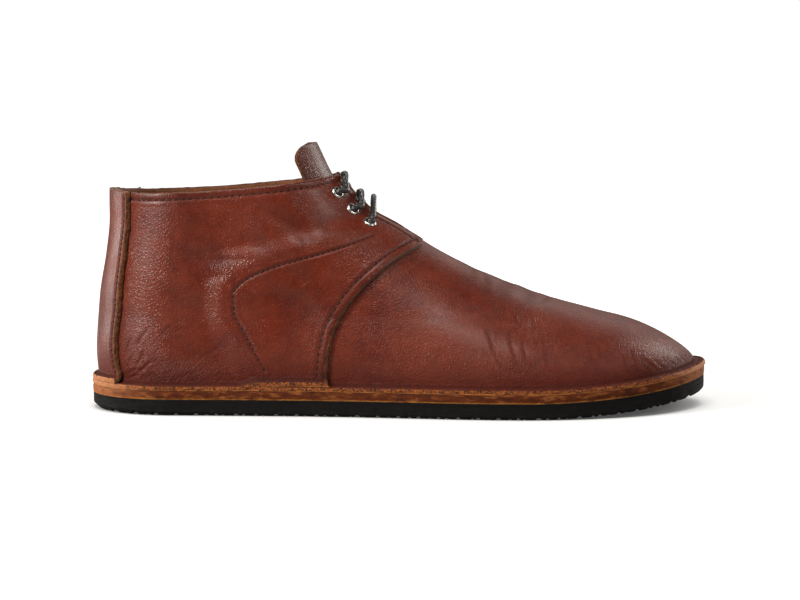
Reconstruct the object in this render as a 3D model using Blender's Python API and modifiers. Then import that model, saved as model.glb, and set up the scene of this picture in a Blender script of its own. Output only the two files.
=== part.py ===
"""Chukka boot for the right foot: a stitched-down leather upper on a leather midsole and a rubber outsole.

The boot stands on the XY plane with its toe towards +X and its inner (medial) side towards +Y.
Lengths are in metres, apart from the station tables, whose columns are in millimetres.
Within the boot, x runs from the back of the upper to its toe and h is the height above the sole's seat.
"""

from collections import namedtuple

import bmesh
import bpy
import numpy as np
from mathutils import Matrix, Vector

MM = 0.001

# Driving dimensions
LAST_LENGTH = 0.282
LEATHER = 0.0022
GAP = 0.0003
OVERLAY_GAP = 0.0004
OUTSOLE_THICKNESS = 0.0072
MIDSOLE_THICKNESS = 0.0035
INSOLE_THICKNESS = 0.0025
FLANGE_REACH = 0.005
SOLE_SEAT = OUTSOLE_THICKNESS + GAP + MIDSOLE_THICKNESS + GAP

TOE_SPRING = 0.007
SPRING_START = 0.200
COLLAR_BACK_HEIGHT = 0.092
COLLAR_FRONT_HEIGHT = 0.100
COLLAR_DIP = 0.004
WALL_START = 0.0040
FLANGE_BEND = ((0.0018, 0.0), (0.0005, 0.0005))

# Reaches of the rounded ends, measured along x
HEEL_REACH = 0.036
OUTER_TOE_REACH = 0.085
INNER_TOE_REACH = 0.048
TOE_RISE_REACH = 0.040
BACK_FADE = 0.080
BELLY = 0.035
BELLY_HEIGHT = 0.034

# Throat, facings and eyelets
THROAT_X = 0.150
FACING_HALF_GAP = 0.0100
FACING_ROUND = 0.05
EYELET_PAIRS = 3
EYELET_ROW_OVER_THROAT = 0.080
TOP_EYELET_ROW = 0.950
EYELET_FROM_EDGE = 0.0085
EYELET_RADIUS = 0.0032
EYELET_BARREL_RADIUS = 0.0021
EYELET_BORE_RADIUS = 0.0016
EYELET_RIM = 0.0006
EYELET_SEAT = 0.0005
HOLE_RADIUS = EYELET_BARREL_RADIUS + OVERLAY_GAP
LACE_RADIUS = 0.0014
LACE_ON_EYELET = EYELET_SEAT + EYELET_RIM + LACE_RADIUS + 2 * GAP
LACE_ON_TONGUE = LACE_RADIUS - LEATHER
LACE_FROM_FACING = LACE_RADIUS + LEATHER + 3 * GAP
CROSSING_START = 0.35

# Overlay and tongue
HEEL_PANEL_HALF_WIDTH_LOW = 0.0250
HEEL_PANEL_HALF_WIDTH_HIGH = 0.0215
HEEL_PANEL_FIRST_ROW = 0.015
TONGUE_THICKNESS = 0.0018
TONGUE_HALF_WIDTH = 0.0240
TONGUE_TUCK = 0.10
TONGUE_TOP = 1.09

# Tread
TREAD_DEPTH = 0.0020
GROOVE_WIDTH = 0.0020
GROOVE_PITCH = 0.0092
GROOVE_WAVE = 0.0030
GROOVE_BENDS = 6
SOLE_EDGE_BEVEL = 0.0010
HEEL_CORNER_BEVEL = 0.0026
HEEL_CORNER_TURN = 0.4
GROOVE_OVERHANG = 0.012

# Mesh density
WALL_ROWS = 22
COLUMNS = 52
OVERLAY_ROWS = 14
OVERLAY_COLUMNS = 15
ROUND_STEPS = 14
LACE_POINTS = 13

Station = namedtuple("Station", "x centre outer inner ridge tall wide")
# One row for each cross-section. centre is the ridge's offset to the inner side, outer and inner are the
# half-widths at the sole, ridge is the height of the top line, tall and wide are the section's exponents.
STATIONS = (
    Station(x=0, centre=0.0, outer=34.0, inner=33.5, ridge=200, tall=2.4, wide=2.0),
    Station(x=45, centre=0.0, outer=34.5, inner=33.5, ridge=200, tall=2.4, wide=2.0),
    Station(x=75, centre=0.0, outer=36.0, inner=32.0, ridge=190, tall=2.4, wide=2.0),
    Station(x=97, centre=1.0, outer=38.5, inner=30.0, ridge=130, tall=2.2, wide=1.9),
    Station(x=108, centre=1.5, outer=40.5, inner=29.5, ridge=107.5, tall=2.1, wide=1.85),
    Station(x=118, centre=2.0, outer=42.0, inner=29.5, ridge=94.5, tall=2.0, wide=1.8),
    Station(x=130, centre=2.5, outer=44.5, inner=30.0, ridge=82.5, tall=1.9, wide=1.75),
    Station(x=145, centre=3.5, outer=48.0, inner=31.5, ridge=71, tall=1.9, wide=1.75),
    Station(x=165, centre=4.5, outer=52.5, inner=35.0, ridge=59, tall=1.9, wide=1.8),
    Station(x=185, centre=5.5, outer=56.0, inner=38.5, ridge=49.5, tall=2.0, wide=1.9),
    Station(x=205, centre=6.5, outer=57.5, inner=41.0, ridge=42, tall=2.0, wide=2.0),
    Station(x=230, centre=8.0, outer=58.5, inner=41.0, ridge=33.7, tall=2.0, wide=2.1),
    Station(x=257, centre=10.5, outer=61.0, inner=38.5, ridge=25, tall=2.0, wide=2.2),
    Station(x=282, centre=12.0, outer=62.0, inner=37.0, ridge=16, tall=2.0, wide=2.2),
)

BackPoint = namedtuple("BackPoint", "h x")
# The back of the heel in side view: how far it lies forward of the seat at each height.
BACK_LINE = (
    BackPoint(h=0, x=0.0),
    BackPoint(h=18, x=-1.4),
    BackPoint(h=40, x=0.2),
    BackPoint(h=62, x=3.6),
    BackPoint(h=80, x=5.6),
    BackPoint(h=110, x=5.6),
)

Finish = namedtuple("Finish", "colour roughness metallic")
FINISHES = {
    "upper_leather": Finish((0.175, 0.050, 0.026), 0.42, 0.0),
    "tongue_leather": Finish((0.130, 0.038, 0.020), 0.50, 0.0),
    "sole_leather": Finish((0.300, 0.125, 0.045), 0.75, 0.0),
    "insole_leather": Finish((0.330, 0.200, 0.105), 0.80, 0.0),
    "sole_rubber": Finish((0.014, 0.013, 0.013), 0.65, 0.0),
    "eyelet_metal": Finish((0.620, 0.610, 0.590), 0.28, 1.0),
    "lace_cord": Finish((0.012, 0.011, 0.011), 0.60, 0.0),
}


def smooth_curve(places, values):
    """A cubic through the values that never overshoots them."""
    places = np.array(places, float) * MM
    values = np.array(values, float)
    widths = np.diff(places)
    steps = np.diff(values) / widths
    slopes = np.concatenate([steps[:1], np.zeros(len(places) - 2), steps[-1:]])
    same_way = steps[:-1] * steps[1:] > 0
    total = np.where(same_way, steps[:-1] + steps[1:], 1.0)
    slopes[1:-1] = np.where(same_way, 2 * steps[:-1] * steps[1:] / total, 0.0)

    def value(place):
        place = np.clip(place, places[0], places[-1])
        i = np.clip(np.searchsorted(places, place) - 1, 0, len(widths) - 1)
        u = (place - places[i]) / widths[i]
        low = values[i] * (1 + 2 * u) + slopes[i] * widths[i] * u
        high = values[i + 1] * (3 - 2 * u) - slopes[i + 1] * widths[i] * (1 - u)
        return low * (1 - u) ** 2 + high * u**2

    return value


def station_curve(column, scale=MM):
    values = [getattr(station, column) * scale for station in STATIONS]
    return smooth_curve([station.x for station in STATIONS], values)


centre_line = station_curve("centre")
outer_reach = station_curve("outer")
inner_reach = station_curve("inner")
ridge_line = station_curve("ridge")
tall_exponent = station_curve("tall", 1.0)
wide_exponent = station_curve("wide", 1.0)
back_line = smooth_curve([p.h for p in BACK_LINE], [p.x * MM for p in BACK_LINE])


def rounded_end(distance, reach):
    """The rise of an elliptical end: 0 at the end itself and 1 from its reach onwards."""
    left = np.clip(1 - distance / reach, 0.0, 1.0)
    return np.sqrt(1 - left**2)


def ease(u):
    u = np.clip(u, 0.0, 1.0)
    return u * u * (3 - 2 * u)


def toe_spring(x):
    """How far the sole curls up from the floor towards the toe."""
    return TOE_SPRING * np.clip((x - SPRING_START) / (LAST_LENGTH - SPRING_START), 0.0, None) ** 2


def ridge_height(x):
    return ridge_line(x) * rounded_end(LAST_LENGTH - x, TOE_RISE_REACH)


def half_width(inner_side, x, h):
    """The distance from the centre line to the wall, at a place x along the boot and a height h."""
    shifted = x - back_line(h) * (1 - ease(x / BACK_FADE))
    reach = np.where(inner_side, inner_reach(shifted), outer_reach(shifted))
    toe_reach = np.where(inner_side, INNER_TOE_REACH, OUTER_TOE_REACH)
    ends = rounded_end(shifted, HEEL_REACH) * rounded_end(LAST_LENGTH - shifted, toe_reach)
    belly = 1 + BELLY * np.sin(np.pi * np.clip(h / BELLY_HEIGHT, 0.0, 1.0))
    height_share = np.clip(h / np.maximum(ridge_height(x), 1e-6), 0.0, 1.0)
    section = (1 - height_share ** tall_exponent(x)) ** (1 / wide_exponent(x))
    return reach * ends * belly * section


def trace_ridge():
    """The top line from toe to shin as rows and their x, where row 0 is the wall's foot and 1 the collar."""
    x_end = STATIONS[2].x * MM
    x = LAST_LENGTH - (LAST_LENGTH - x_end) * np.linspace(0, 1, 1500) ** 2
    h = ridge_height(x)
    run = np.concatenate([[0], np.cumsum(np.hypot(np.diff(x), np.diff(h)))])
    start = np.interp(WALL_START, h, run)
    end = np.interp(COLLAR_FRONT_HEIGHT, h, run)
    return (run - start) / (end - start), x


RIDGE_ROWS, RIDGE_X = trace_ridge()


def last_point(row, turn):
    """A point of the upper's outer surface.

    row runs from 0 at the foot of the wall to 1 at the collar. turn is 0 at the back of the heel, +1 at the
    ridge by way of the inner side and -1 at the ridge by way of the outer side.
    """
    turn = (turn + 1) % 2 - 1
    back_h = WALL_START + (COLLAR_BACK_HEIGHT - WALL_START) * row
    front_x = np.interp(row, RIDGE_ROWS, RIDGE_X)
    along = (1 - np.cos(np.pi * np.abs(turn))) / 2
    x = back_line(back_h) * (1 - along) + front_x * along
    dip = COLLAR_DIP * np.clip(row, 0, None) ** 4 * np.sin(np.pi * np.abs(turn))
    h = back_h * (1 - along) + ridge_height(front_x) * along - dip
    inner_side = turn > 0
    y = centre_line(x) + np.where(inner_side, 1, -1) * half_width(inner_side, x, h)
    return np.stack([x, y, SOLE_SEAT + toe_spring(x) + h], axis=-1)


def last_normal(row, turn):
    step = 1e-4
    up = last_point(row + step, turn) - last_point(row - step, turn)
    around = last_point(row, turn + step) - last_point(row, turn - step)
    normal = np.cross(up, around)
    return normal / np.linalg.norm(normal, axis=-1, keepdims=True)


def offset_point(row, turn, offset):
    """A point that stands off the upper's outer surface, outwards where offset is positive."""
    return last_point(row, turn) + last_normal(row, turn) * offset


def turn_at_width(row, width, near_ridge):
    """How far round each row the outer wall is this far from the centre line, by the ridge or by the heel."""
    low = np.full(np.shape(row), 0.5)
    high = np.full(np.shape(row), 1.0 if near_ridge else 0.0)
    for _ in range(40):
        middle = (low + high) / 2
        point = last_point(row, -middle)
        beyond = centre_line(point[..., 0]) - point[..., 1] < width
        high = np.where(beyond, middle, high)
        low = np.where(beyond, low, middle)
    return (low + high) / 2


THROAT_ROW = float(np.interp(-THROAT_X, -RIDGE_X, RIDGE_ROWS))


def facing_turn(row):
    """The front edge of the quarters: the ridge below the throat, and beside the tongue above it."""
    gap = FACING_HALF_GAP * np.sqrt(np.clip((row - THROAT_ROW) / FACING_ROUND, 0.0, 1.0))
    return np.where(row > THROAT_ROW + 1e-6, turn_at_width(row, gap, near_ridge=True), 1.0)


def sole_outline(turn, reach):
    """The plan outline that lies this far outside the foot of the wall, as x and y."""
    step = 1e-4
    row = np.zeros(np.shape(turn))
    around = last_point(row, turn + step) - last_point(row, turn - step)
    outward = np.stack([around[..., 1], -around[..., 0]], axis=-1)
    outward /= np.linalg.norm(outward, axis=-1, keepdims=True)
    return last_point(row, turn)[..., :2] - outward * np.asarray(reach)[..., None]


def sole_ring(turn, reach, height):
    """A ring round the sole, at a height above the floor that follows the toe spring."""
    outline = sole_outline(turn, reach)
    z = height + toe_spring(outline[..., 0])
    return np.concatenate([outline, z[..., None]], axis=-1)


def clear_scene():
    for old in list(bpy.data.objects):
        bpy.data.objects.remove(old)


def make_material(name):
    finish = FINISHES[name]
    material = bpy.data.materials.new(name)
    material.use_nodes = True
    shader = material.node_tree.nodes["Principled BSDF"]
    shader.inputs["Base Color"].default_value = (*finish.colour, 1)
    shader.inputs["Roughness"].default_value = finish.roughness
    shader.inputs["Metallic"].default_value = finish.metallic
    return material


class Workshop:
    """Holds the boot's collection, its root and the finishes, and adds each piece to them."""

    def __init__(self):
        self.boot = bpy.data.collections.new("chukka_boot")
        self.cutters = bpy.data.collections.new("cutters")
        for collection in (self.boot, self.cutters):
            bpy.context.scene.collection.children.link(collection)
        self.materials = {name: make_material(name) for name in FINISHES}
        self.root = bpy.data.objects.new("boot_root", None)
        self.root.location = boot_offset()
        self.boot.objects.link(self.root)
        bpy.context.view_layer.update()

    def add(self, name, data, finish):
        piece = bpy.data.objects.new(name, data)
        data.materials.append(self.materials[finish])
        piece.parent = self.root
        self.boot.objects.link(piece)
        return piece

    def add_cutter(self, name, data):
        cutter = bpy.data.objects.new(name, data)
        cutter.parent = self.root
        cutter.hide_render = True
        cutter.display_type = "WIRE"
        self.cutters.objects.link(cutter)
        return cutter


def boot_offset():
    """Moves the middle of the sole's plan to the origin."""
    outline = sole_outline(np.linspace(-1, 1, 2001), FLANGE_REACH)
    middle = (outline.min(axis=0) + outline.max(axis=0)) / 2
    return Vector((-middle[0], -middle[1], 0))


def grid_mesh(name, grid):
    """An open surface through a grid of points, rows by columns, with doubled points welded."""
    mesh = bpy.data.meshes.new(name)
    form = bmesh.new()
    rows = [[form.verts.new(point) for point in line] for line in grid]
    for lower, upper in zip(rows, rows[1:]):
        for i in range(len(lower) - 1):
            form.faces.new((lower[i + 1], lower[i], upper[i], upper[i + 1]))
    bmesh.ops.remove_doubles(form, verts=form.verts, dist=1e-5)
    form.to_mesh(mesh)
    form.free()
    mesh.shade_smooth()
    return mesh


def thicken(piece, thickness, outwards=False):
    solid = piece.modifiers.new("leather_thickness", "SOLIDIFY")
    solid.thickness = thickness
    solid.offset = 1 if outwards else -1
    solid.use_even_offset = True
    solid.use_quality_normals = True


def plate_mesh(name, rings):
    """A closed plate from rings of points, the lowest first, each starting and ending at the toe."""
    mesh = bpy.data.meshes.new(name)
    form = bmesh.new()
    loops = [[form.verts.new(point) for point in ring[:-1]] for ring in rings]
    count = len(loops[0])
    for lower, upper in zip(loops, loops[1:]):
        for i in range(count):
            j = (i + 1) % count
            form.faces.new((lower[j], lower[i], upper[i], upper[j]))
    for loop in (loops[0], loops[-1]):
        for i in range(count // 2):
            corners = (loop[i], loop[i + 1], loop[(count - i - 1) % count], loop[(count - i) % count])
            form.faces.new(tuple(dict.fromkeys(corners)))
    bmesh.ops.recalc_face_normals(form, faces=form.faces)
    form.to_mesh(mesh)
    form.free()
    return mesh


def make_outsole(shop):
    turn = np.linspace(-1, 1, COLUMNS + 1)
    corner = SOLE_EDGE_BEVEL + (HEEL_CORNER_BEVEL - SOLE_EDGE_BEVEL) * (1 - ease(np.abs(turn) / HEEL_CORNER_TURN))
    rings = (
        sole_ring(turn, FLANGE_REACH - corner, 0.0),
        sole_ring(turn, FLANGE_REACH, corner),
        sole_ring(turn, FLANGE_REACH, OUTSOLE_THICKNESS),
    )
    outsole = shop.add("outsole", plate_mesh("outsole", rings), "sole_rubber")
    cut = outsole.modifiers.new("tread", "BOOLEAN")
    cut.operation = "DIFFERENCE"
    cut.object = shop.add_cutter("tread_grooves", groove_mesh())


def groove_mesh():
    """Zigzag grooves across the sole, one every pitch, whose floors follow the toe spring."""
    mesh = bpy.data.meshes.new("tread_grooves")
    form = bmesh.new()
    widest = max(station.outer for station in STATIONS) * MM
    across = np.linspace(-1, 1, GROOVE_BENDS + 1) * (widest + GROOVE_OVERHANG)
    wave = GROOVE_WAVE * (np.arange(GROOVE_BENDS + 1) % 2 - 0.5)
    for x in np.arange(GROOVE_PITCH, LAST_LENGTH, GROOVE_PITCH):
        front = x + wave + GROOVE_WIDTH / 2
        back = x + wave - GROOVE_WIDTH / 2
        outline = [*zip(front, across), *zip(back[::-1], across[::-1])]
        floor = [form.verts.new((px, py, TREAD_DEPTH + toe_spring(px))) for px, py in outline]
        mouth = [form.verts.new((px, py, -GROOVE_OVERHANG)) for px, py in outline]
        count = len(outline)
        for i in range(count):
            j = (i + 1) % count
            form.faces.new((mouth[i], mouth[j], floor[j], floor[i]))
        for i in range(GROOVE_BENDS):
            for level in (floor, mouth):
                form.faces.new((level[i], level[i + 1], level[count - 2 - i], level[count - 1 - i]))
    bmesh.ops.recalc_face_normals(form, faces=form.faces)
    form.to_mesh(mesh)
    form.free()
    return mesh


def make_midsole(shop):
    turn = np.linspace(-1, 1, COLUMNS + 1)
    low = OUTSOLE_THICKNESS + GAP
    rings = (
        sole_ring(turn, FLANGE_REACH, low),
        sole_ring(turn, FLANGE_REACH, low + MIDSOLE_THICKNESS),
    )
    shop.add("midsole", plate_mesh("midsole", rings), "sole_leather")


def make_insole(shop):
    turn = np.linspace(-1, 1, COLUMNS + 1)
    reach = -(LEATHER + 3 * GAP)
    rings = (
        sole_ring(turn, reach, SOLE_SEAT),
        sole_ring(turn, reach, SOLE_SEAT + INSOLE_THICKNESS),
    )
    shop.add("insole", plate_mesh("insole", rings), "insole_leather")


def make_upper(shop):
    """Vamp and quarters as one wall that turns out at its foot into the stitched-down flange."""
    turn = np.linspace(-1, 1, COLUMNS + 1)
    top = SOLE_SEAT + LEATHER
    flange = [sole_ring(turn, FLANGE_REACH - GAP, top)]
    flange += [sole_ring(turn, reach, top + rise) for reach, rise in FLANGE_BEND]
    wall = []
    for row in np.linspace(0, 1, WALL_ROWS):
        line = np.full(COLUMNS + 1, row)
        wall.append(last_point(line, turn * facing_turn(line)))
    upper = shop.add("upper", grid_mesh("upper", [*flange, *wall]), "upper_leather")
    thicken(upper, LEATHER)
    cut = upper.modifiers.new("eyelet_holes", "BOOLEAN")
    cut.operation = "DIFFERENCE"
    cut.object = shop.add_cutter("eyelet_hole_pins", hole_pin_mesh())


def make_heel_panel(shop):
    """The wide leather panel sewn over the back of the heel, from the flange to the collar."""
    grid = []
    for row in np.linspace(HEEL_PANEL_FIRST_ROW, 1, OVERLAY_ROWS):
        width = HEEL_PANEL_HALF_WIDTH_LOW + (HEEL_PANEL_HALF_WIDTH_HIGH - HEEL_PANEL_HALF_WIDTH_LOW) * row
        edge = turn_at_width(row, width, near_ridge=False)
        turn = np.linspace(-edge, edge, OVERLAY_COLUMNS)
        grid.append(offset_point(np.full(len(turn), row), turn, OVERLAY_GAP))
    panel = shop.add("heel_panel", grid_mesh("heel_panel", grid), "upper_leather")
    thicken(panel, LEATHER, outwards=True)


def across_ridge(edge_turn, share):
    """The turn at a share of the way over the ridge, from -1 at the outer edge to +1 at the inner edge."""
    way = np.where(np.asarray(share) < 0, -1, 1)
    return way * (1 - np.abs(share) * (1 - edge_turn))


def make_tongue(shop):
    grid = []
    share = np.linspace(-1, 1, OVERLAY_COLUMNS)
    for row in np.linspace(THROAT_ROW - TONGUE_TUCK, TONGUE_TOP, OVERLAY_ROWS):
        edge = turn_at_width(row, TONGUE_HALF_WIDTH, near_ridge=True)
        turn = across_ridge(edge, share)
        grid.append(offset_point(np.full(len(turn), row), turn, -LEATHER - 2 * GAP))
    tongue = shop.add("tongue", grid_mesh("tongue", grid), "tongue_leather")
    tongue.data.flip_normals()
    thicken(tongue, TONGUE_THICKNESS)


def eyelet_rows():
    return np.linspace(THROAT_ROW + EYELET_ROW_OVER_THROAT, TOP_EYELET_ROW, EYELET_PAIRS)


def eyelet_turn(row):
    return turn_at_width(row, FACING_HALF_GAP + EYELET_FROM_EDGE, near_ridge=True)


def eyelet_frames():
    """Where each eyelet sits, named by its side and its place counted from the throat."""
    for number, row in enumerate(eyelet_rows(), start=1):
        for side, way in (("outer", -1), ("inner", 1)):
            turn = way * eyelet_turn(row)
            normal = Vector(last_normal(row, turn))
            turned = normal.to_track_quat("Z", "Y").to_matrix().to_4x4()
            yield f"eyelet_{side}_{number}", Matrix.Translation(Vector(last_point(row, turn))) @ turned


def hole_pin_mesh():
    mesh = bpy.data.meshes.new("eyelet_hole_pins")
    form = bmesh.new()
    for _, place in eyelet_frames():
        size = dict(radius1=HOLE_RADIUS, radius2=HOLE_RADIUS, depth=6 * LEATHER)
        bmesh.ops.create_cone(form, cap_ends=True, segments=ROUND_STEPS, matrix=place, **size)
    form.to_mesh(mesh)
    form.free()
    return mesh


def make_eyelets(shop):
    """Small metal eyelets: a rim on the leather and a barrel through it."""
    barrel_end = -LEATHER
    profile = (
        (EYELET_BORE_RADIUS, EYELET_SEAT + EYELET_RIM),
        (EYELET_RADIUS, EYELET_SEAT + EYELET_RIM),
        (EYELET_RADIUS, EYELET_SEAT),
        (EYELET_BARREL_RADIUS, EYELET_SEAT),
        (EYELET_BARREL_RADIUS, barrel_end),
        (EYELET_BORE_RADIUS, barrel_end),
    )
    for name, place in eyelet_frames():
        mesh = bpy.data.meshes.new(name)
        corners = len(profile)
        ring = [(i, (i + 1) % corners) for i in range(corners)]
        mesh.from_pydata([(radius, 0, z) for radius, z in profile], ring, [])
        eyelet = shop.add(name, mesh, "eyelet_metal")
        eyelet.matrix_local = place
        turned = eyelet.modifiers.new("turned", "SCREW")
        turned.steps = turned.render_steps = ROUND_STEPS
        turned.use_merge_vertices = True
        turned.merge_threshold = 1e-5


def crown_point(x, y):
    """A point of the upper's top, seen from above."""
    inner_side = y > centre_line(x)
    reach = np.where(inner_side, inner_reach(x), outer_reach(x))
    share = np.clip(np.abs(y - centre_line(x)) / reach, 0.0, 1.0)
    h = ridge_height(x) * (1 - share ** wide_exponent(x)) ** (1 / tall_exponent(x))
    return np.stack([x, y, SOLE_SEAT + toe_spring(x) + h], axis=-1)


def crown_normal(x, y):
    step = 1e-4
    along = crown_point(x + step, y) - crown_point(x - step, y)
    across = crown_point(x, y + step) - crown_point(x, y - step)
    normal = np.cross(along, across)
    return normal / np.linalg.norm(normal, axis=-1, keepdims=True)


def lace_line(start, end, shares, stands):
    """A lace pulled straight between two points, whose height over the facings changes along it."""
    share = np.linspace(0, 1, LACE_POINTS)
    x = start[0] + (end[0] - start[0]) * share
    y = start[1] + (end[1] - start[1]) * share
    stand = np.interp(share, shares, stands)
    return crown_point(x, y) + crown_normal(x, y) * stand[:, None]


def tube_mesh(name, path):
    curve = bpy.data.curves.new(name, "CURVE")
    curve.dimensions = "3D"
    curve.bevel_depth = LACE_RADIUS
    curve.bevel_resolution = 2
    curve.use_fill_caps = True
    spline = curve.splines.new("POLY")
    spline.points.add(len(path) - 1)
    for point, place in zip(spline.points, path):
        point.co = (*place, 1)
    holder = bpy.data.objects.new(name, curve)
    bpy.context.scene.collection.objects.link(holder)
    graph = bpy.context.evaluated_depsgraph_get()
    mesh = bpy.data.meshes.new_from_object(holder.evaluated_get(graph))
    bpy.data.objects.remove(holder)
    form = bmesh.new()
    form.from_mesh(mesh)
    bmesh.ops.remove_doubles(form, verts=form.verts, dist=1e-5)
    bmesh.ops.recalc_face_normals(form, faces=form.faces)
    form.to_mesh(mesh)
    form.free()
    mesh.shade_smooth()
    return mesh


def make_lace(shop):
    """A bar over the lowest eyelets, then crossings that rise from under the facings into the next pair."""
    pairs = [{way: last_point(row, way * eyelet_turn(row)) for way in (-1, 1)} for row in eyelet_rows()]
    bar = lace_line(pairs[0][-1], pairs[0][1], (0, 1), (LACE_ON_EYELET, LACE_ON_EYELET))
    shop.add("lace_bar", tube_mesh("lace_bar", bar), "lace_cord")

    start_width = FACING_HALF_GAP - LACE_FROM_FACING
    edge = (start_width + FACING_HALF_GAP) / (start_width + FACING_HALF_GAP + EYELET_FROM_EDGE)
    stands = (LACE_ON_TONGUE, LACE_ON_EYELET, LACE_ON_EYELET)
    for number, (low, high) in enumerate(zip(pairs, pairs[1:]), start=1):
        name = f"lace_crossing_{number}"
        strands = []
        for way in (-1, 1):
            x = low[way][0] + CROSSING_START * (high[way][0] - low[way][0])
            start = x, centre_line(x) + way * start_width
            strands.append(lace_line(start, high[-way], (0, edge, 1), stands))
        crossing = shop.add(name, tube_mesh(name, strands[0]), "lace_cord")
        join = crossing.modifiers.new("crossing", "BOOLEAN")
        join.operation = "UNION"
        join.object = shop.add_cutter(f"{name}_other", tube_mesh(f"{name}_other", strands[1]))


def main():
    clear_scene()
    shop = Workshop()
    make_outsole(shop)
    make_midsole(shop)
    make_insole(shop)
    make_upper(shop)
    make_heel_panel(shop)
    make_tongue(shop)
    make_eyelets(shop)
    make_lace(shop)


main()
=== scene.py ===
"""Looks of the chukka boot: leather sheets with cut edges, stitching, creases, laced eyelets, a layered sole.

Within the boot, x runs from the back of the upper to its toe and h is the height above the sole's seat.
A place on the upper is a row, from 0 at the foot of the wall to 1 at the collar, and a turn, which is 0 at
the back of the heel, +1 at the ridge by way of the inner side and -1 at the ridge by way of the outer side.
Rows from 0 down to -1 run out over the flange. Lengths are in metres, and in the tables in millimetres.
"""

from collections import namedtuple

import bpy
import numpy as np
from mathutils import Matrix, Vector


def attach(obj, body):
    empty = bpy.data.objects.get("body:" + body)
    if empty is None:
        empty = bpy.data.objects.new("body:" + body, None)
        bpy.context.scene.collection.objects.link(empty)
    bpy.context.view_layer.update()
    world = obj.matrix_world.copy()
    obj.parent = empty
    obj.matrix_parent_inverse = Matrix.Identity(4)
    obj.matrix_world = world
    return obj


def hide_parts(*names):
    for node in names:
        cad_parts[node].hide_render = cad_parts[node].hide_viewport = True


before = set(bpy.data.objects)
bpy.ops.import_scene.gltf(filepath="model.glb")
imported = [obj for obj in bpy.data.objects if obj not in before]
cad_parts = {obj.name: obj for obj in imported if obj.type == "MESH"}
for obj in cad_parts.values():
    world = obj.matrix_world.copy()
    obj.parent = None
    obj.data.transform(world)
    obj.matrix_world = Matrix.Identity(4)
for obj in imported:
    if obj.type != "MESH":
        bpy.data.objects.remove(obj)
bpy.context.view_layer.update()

MM = 0.001
rng = np.random.default_rng(20)

# Sizes repeated from the solids
LAST_LENGTH = 0.282
LEATHER = 0.0022
GAP = 0.0003
OUTSOLE_THICKNESS = 0.0072
MIDSOLE_THICKNESS = 0.0035
INSOLE_THICKNESS = 0.0025
FLANGE_REACH = 0.005
SOLE_SEAT = OUTSOLE_THICKNESS + GAP + MIDSOLE_THICKNESS + GAP
TOE_SPRING = 0.007
SPRING_START = 0.200
COLLAR_BACK_HEIGHT = 0.092
COLLAR_FRONT_HEIGHT = 0.100
COLLAR_DIP = 0.004
WALL_START = 0.0040
HEEL_REACH = 0.036
OUTER_TOE_REACH = 0.085
INNER_TOE_REACH = 0.048
TOE_RISE_REACH = 0.040
BACK_FADE = 0.080
BELLY = 0.035
BELLY_HEIGHT = 0.034
THROAT_X = 0.150
FACING_HALF_GAP = 0.0100
EYELET_PAIRS = 3
EYELET_ROW_OVER_THROAT = 0.080
TOP_EYELET_ROW = 0.950
EYELET_FROM_EDGE = 0.0085
LACE_RADIUS = 0.0014
HEEL_PANEL_HALF_WIDTH_LOW = 0.0250
HEEL_PANEL_HALF_WIDTH_HIGH = 0.0215
TONGUE_THICKNESS = 0.0018
TONGUE_HALF_WIDTH = 0.0240
TONGUE_TUCK = 0.10
TONGUE_TOP = 1.09
TREAD_DEPTH = 0.0020
GROOVE_WIDTH = 0.0020
GROOVE_PITCH = 0.0092
GROOVE_WAVE = 0.0030
GROOVE_BENDS = 6
GROOVE_OVERHANG = 0.012
SOLE_EDGE_BEVEL = 0.0010
HEEL_CORNER_BEVEL = 0.0026
HEEL_CORNER_TURN = 0.4

Station = namedtuple("Station", "x centre outer inner ridge tall wide")
# One row for each cross-section. centre is the ridge's offset to the inner side, outer and inner are the
# half-widths at the sole, ridge is the height of the top line, tall and wide are the section's exponents.
STATIONS = (
    Station(x=0, centre=0.0, outer=34.0, inner=33.5, ridge=200, tall=2.4, wide=2.0),
    Station(x=45, centre=0.0, outer=34.5, inner=33.5, ridge=200, tall=2.4, wide=2.0),
    Station(x=75, centre=0.0, outer=36.0, inner=32.0, ridge=190, tall=2.4, wide=2.0),
    Station(x=97, centre=1.0, outer=38.5, inner=30.0, ridge=130, tall=2.2, wide=1.9),
    Station(x=108, centre=1.5, outer=40.5, inner=29.5, ridge=107.5, tall=2.1, wide=1.85),
    Station(x=118, centre=2.0, outer=42.0, inner=29.5, ridge=94.5, tall=2.0, wide=1.8),
    Station(x=130, centre=2.5, outer=44.5, inner=30.0, ridge=82.5, tall=1.9, wide=1.75),
    Station(x=145, centre=3.5, outer=48.0, inner=31.5, ridge=71, tall=1.9, wide=1.75),
    Station(x=165, centre=4.5, outer=52.5, inner=35.0, ridge=59, tall=1.9, wide=1.8),
    Station(x=185, centre=5.5, outer=56.0, inner=38.5, ridge=49.5, tall=2.0, wide=1.9),
    Station(x=205, centre=6.5, outer=57.5, inner=41.0, ridge=42, tall=2.0, wide=2.0),
    Station(x=230, centre=8.0, outer=58.5, inner=41.0, ridge=33.7, tall=2.0, wide=2.1),
    Station(x=257, centre=10.5, outer=61.0, inner=38.5, ridge=25, tall=2.0, wide=2.2),
    Station(x=282, centre=12.0, outer=62.0, inner=37.0, ridge=16, tall=2.0, wide=2.2),
)

BackPoint = namedtuple("BackPoint", "h x")
# The back of the heel in side view: how far it lies forward of the seat at each height.
BACK_LINE = (
    BackPoint(h=0, x=0.0),
    BackPoint(h=18, x=-1.4),
    BackPoint(h=40, x=0.2),
    BackPoint(h=62, x=3.6),
    BackPoint(h=80, x=5.6),
    BackPoint(h=110, x=5.6),
)

EdgePoint = namedtuple("EdgePoint", "row x")
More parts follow.
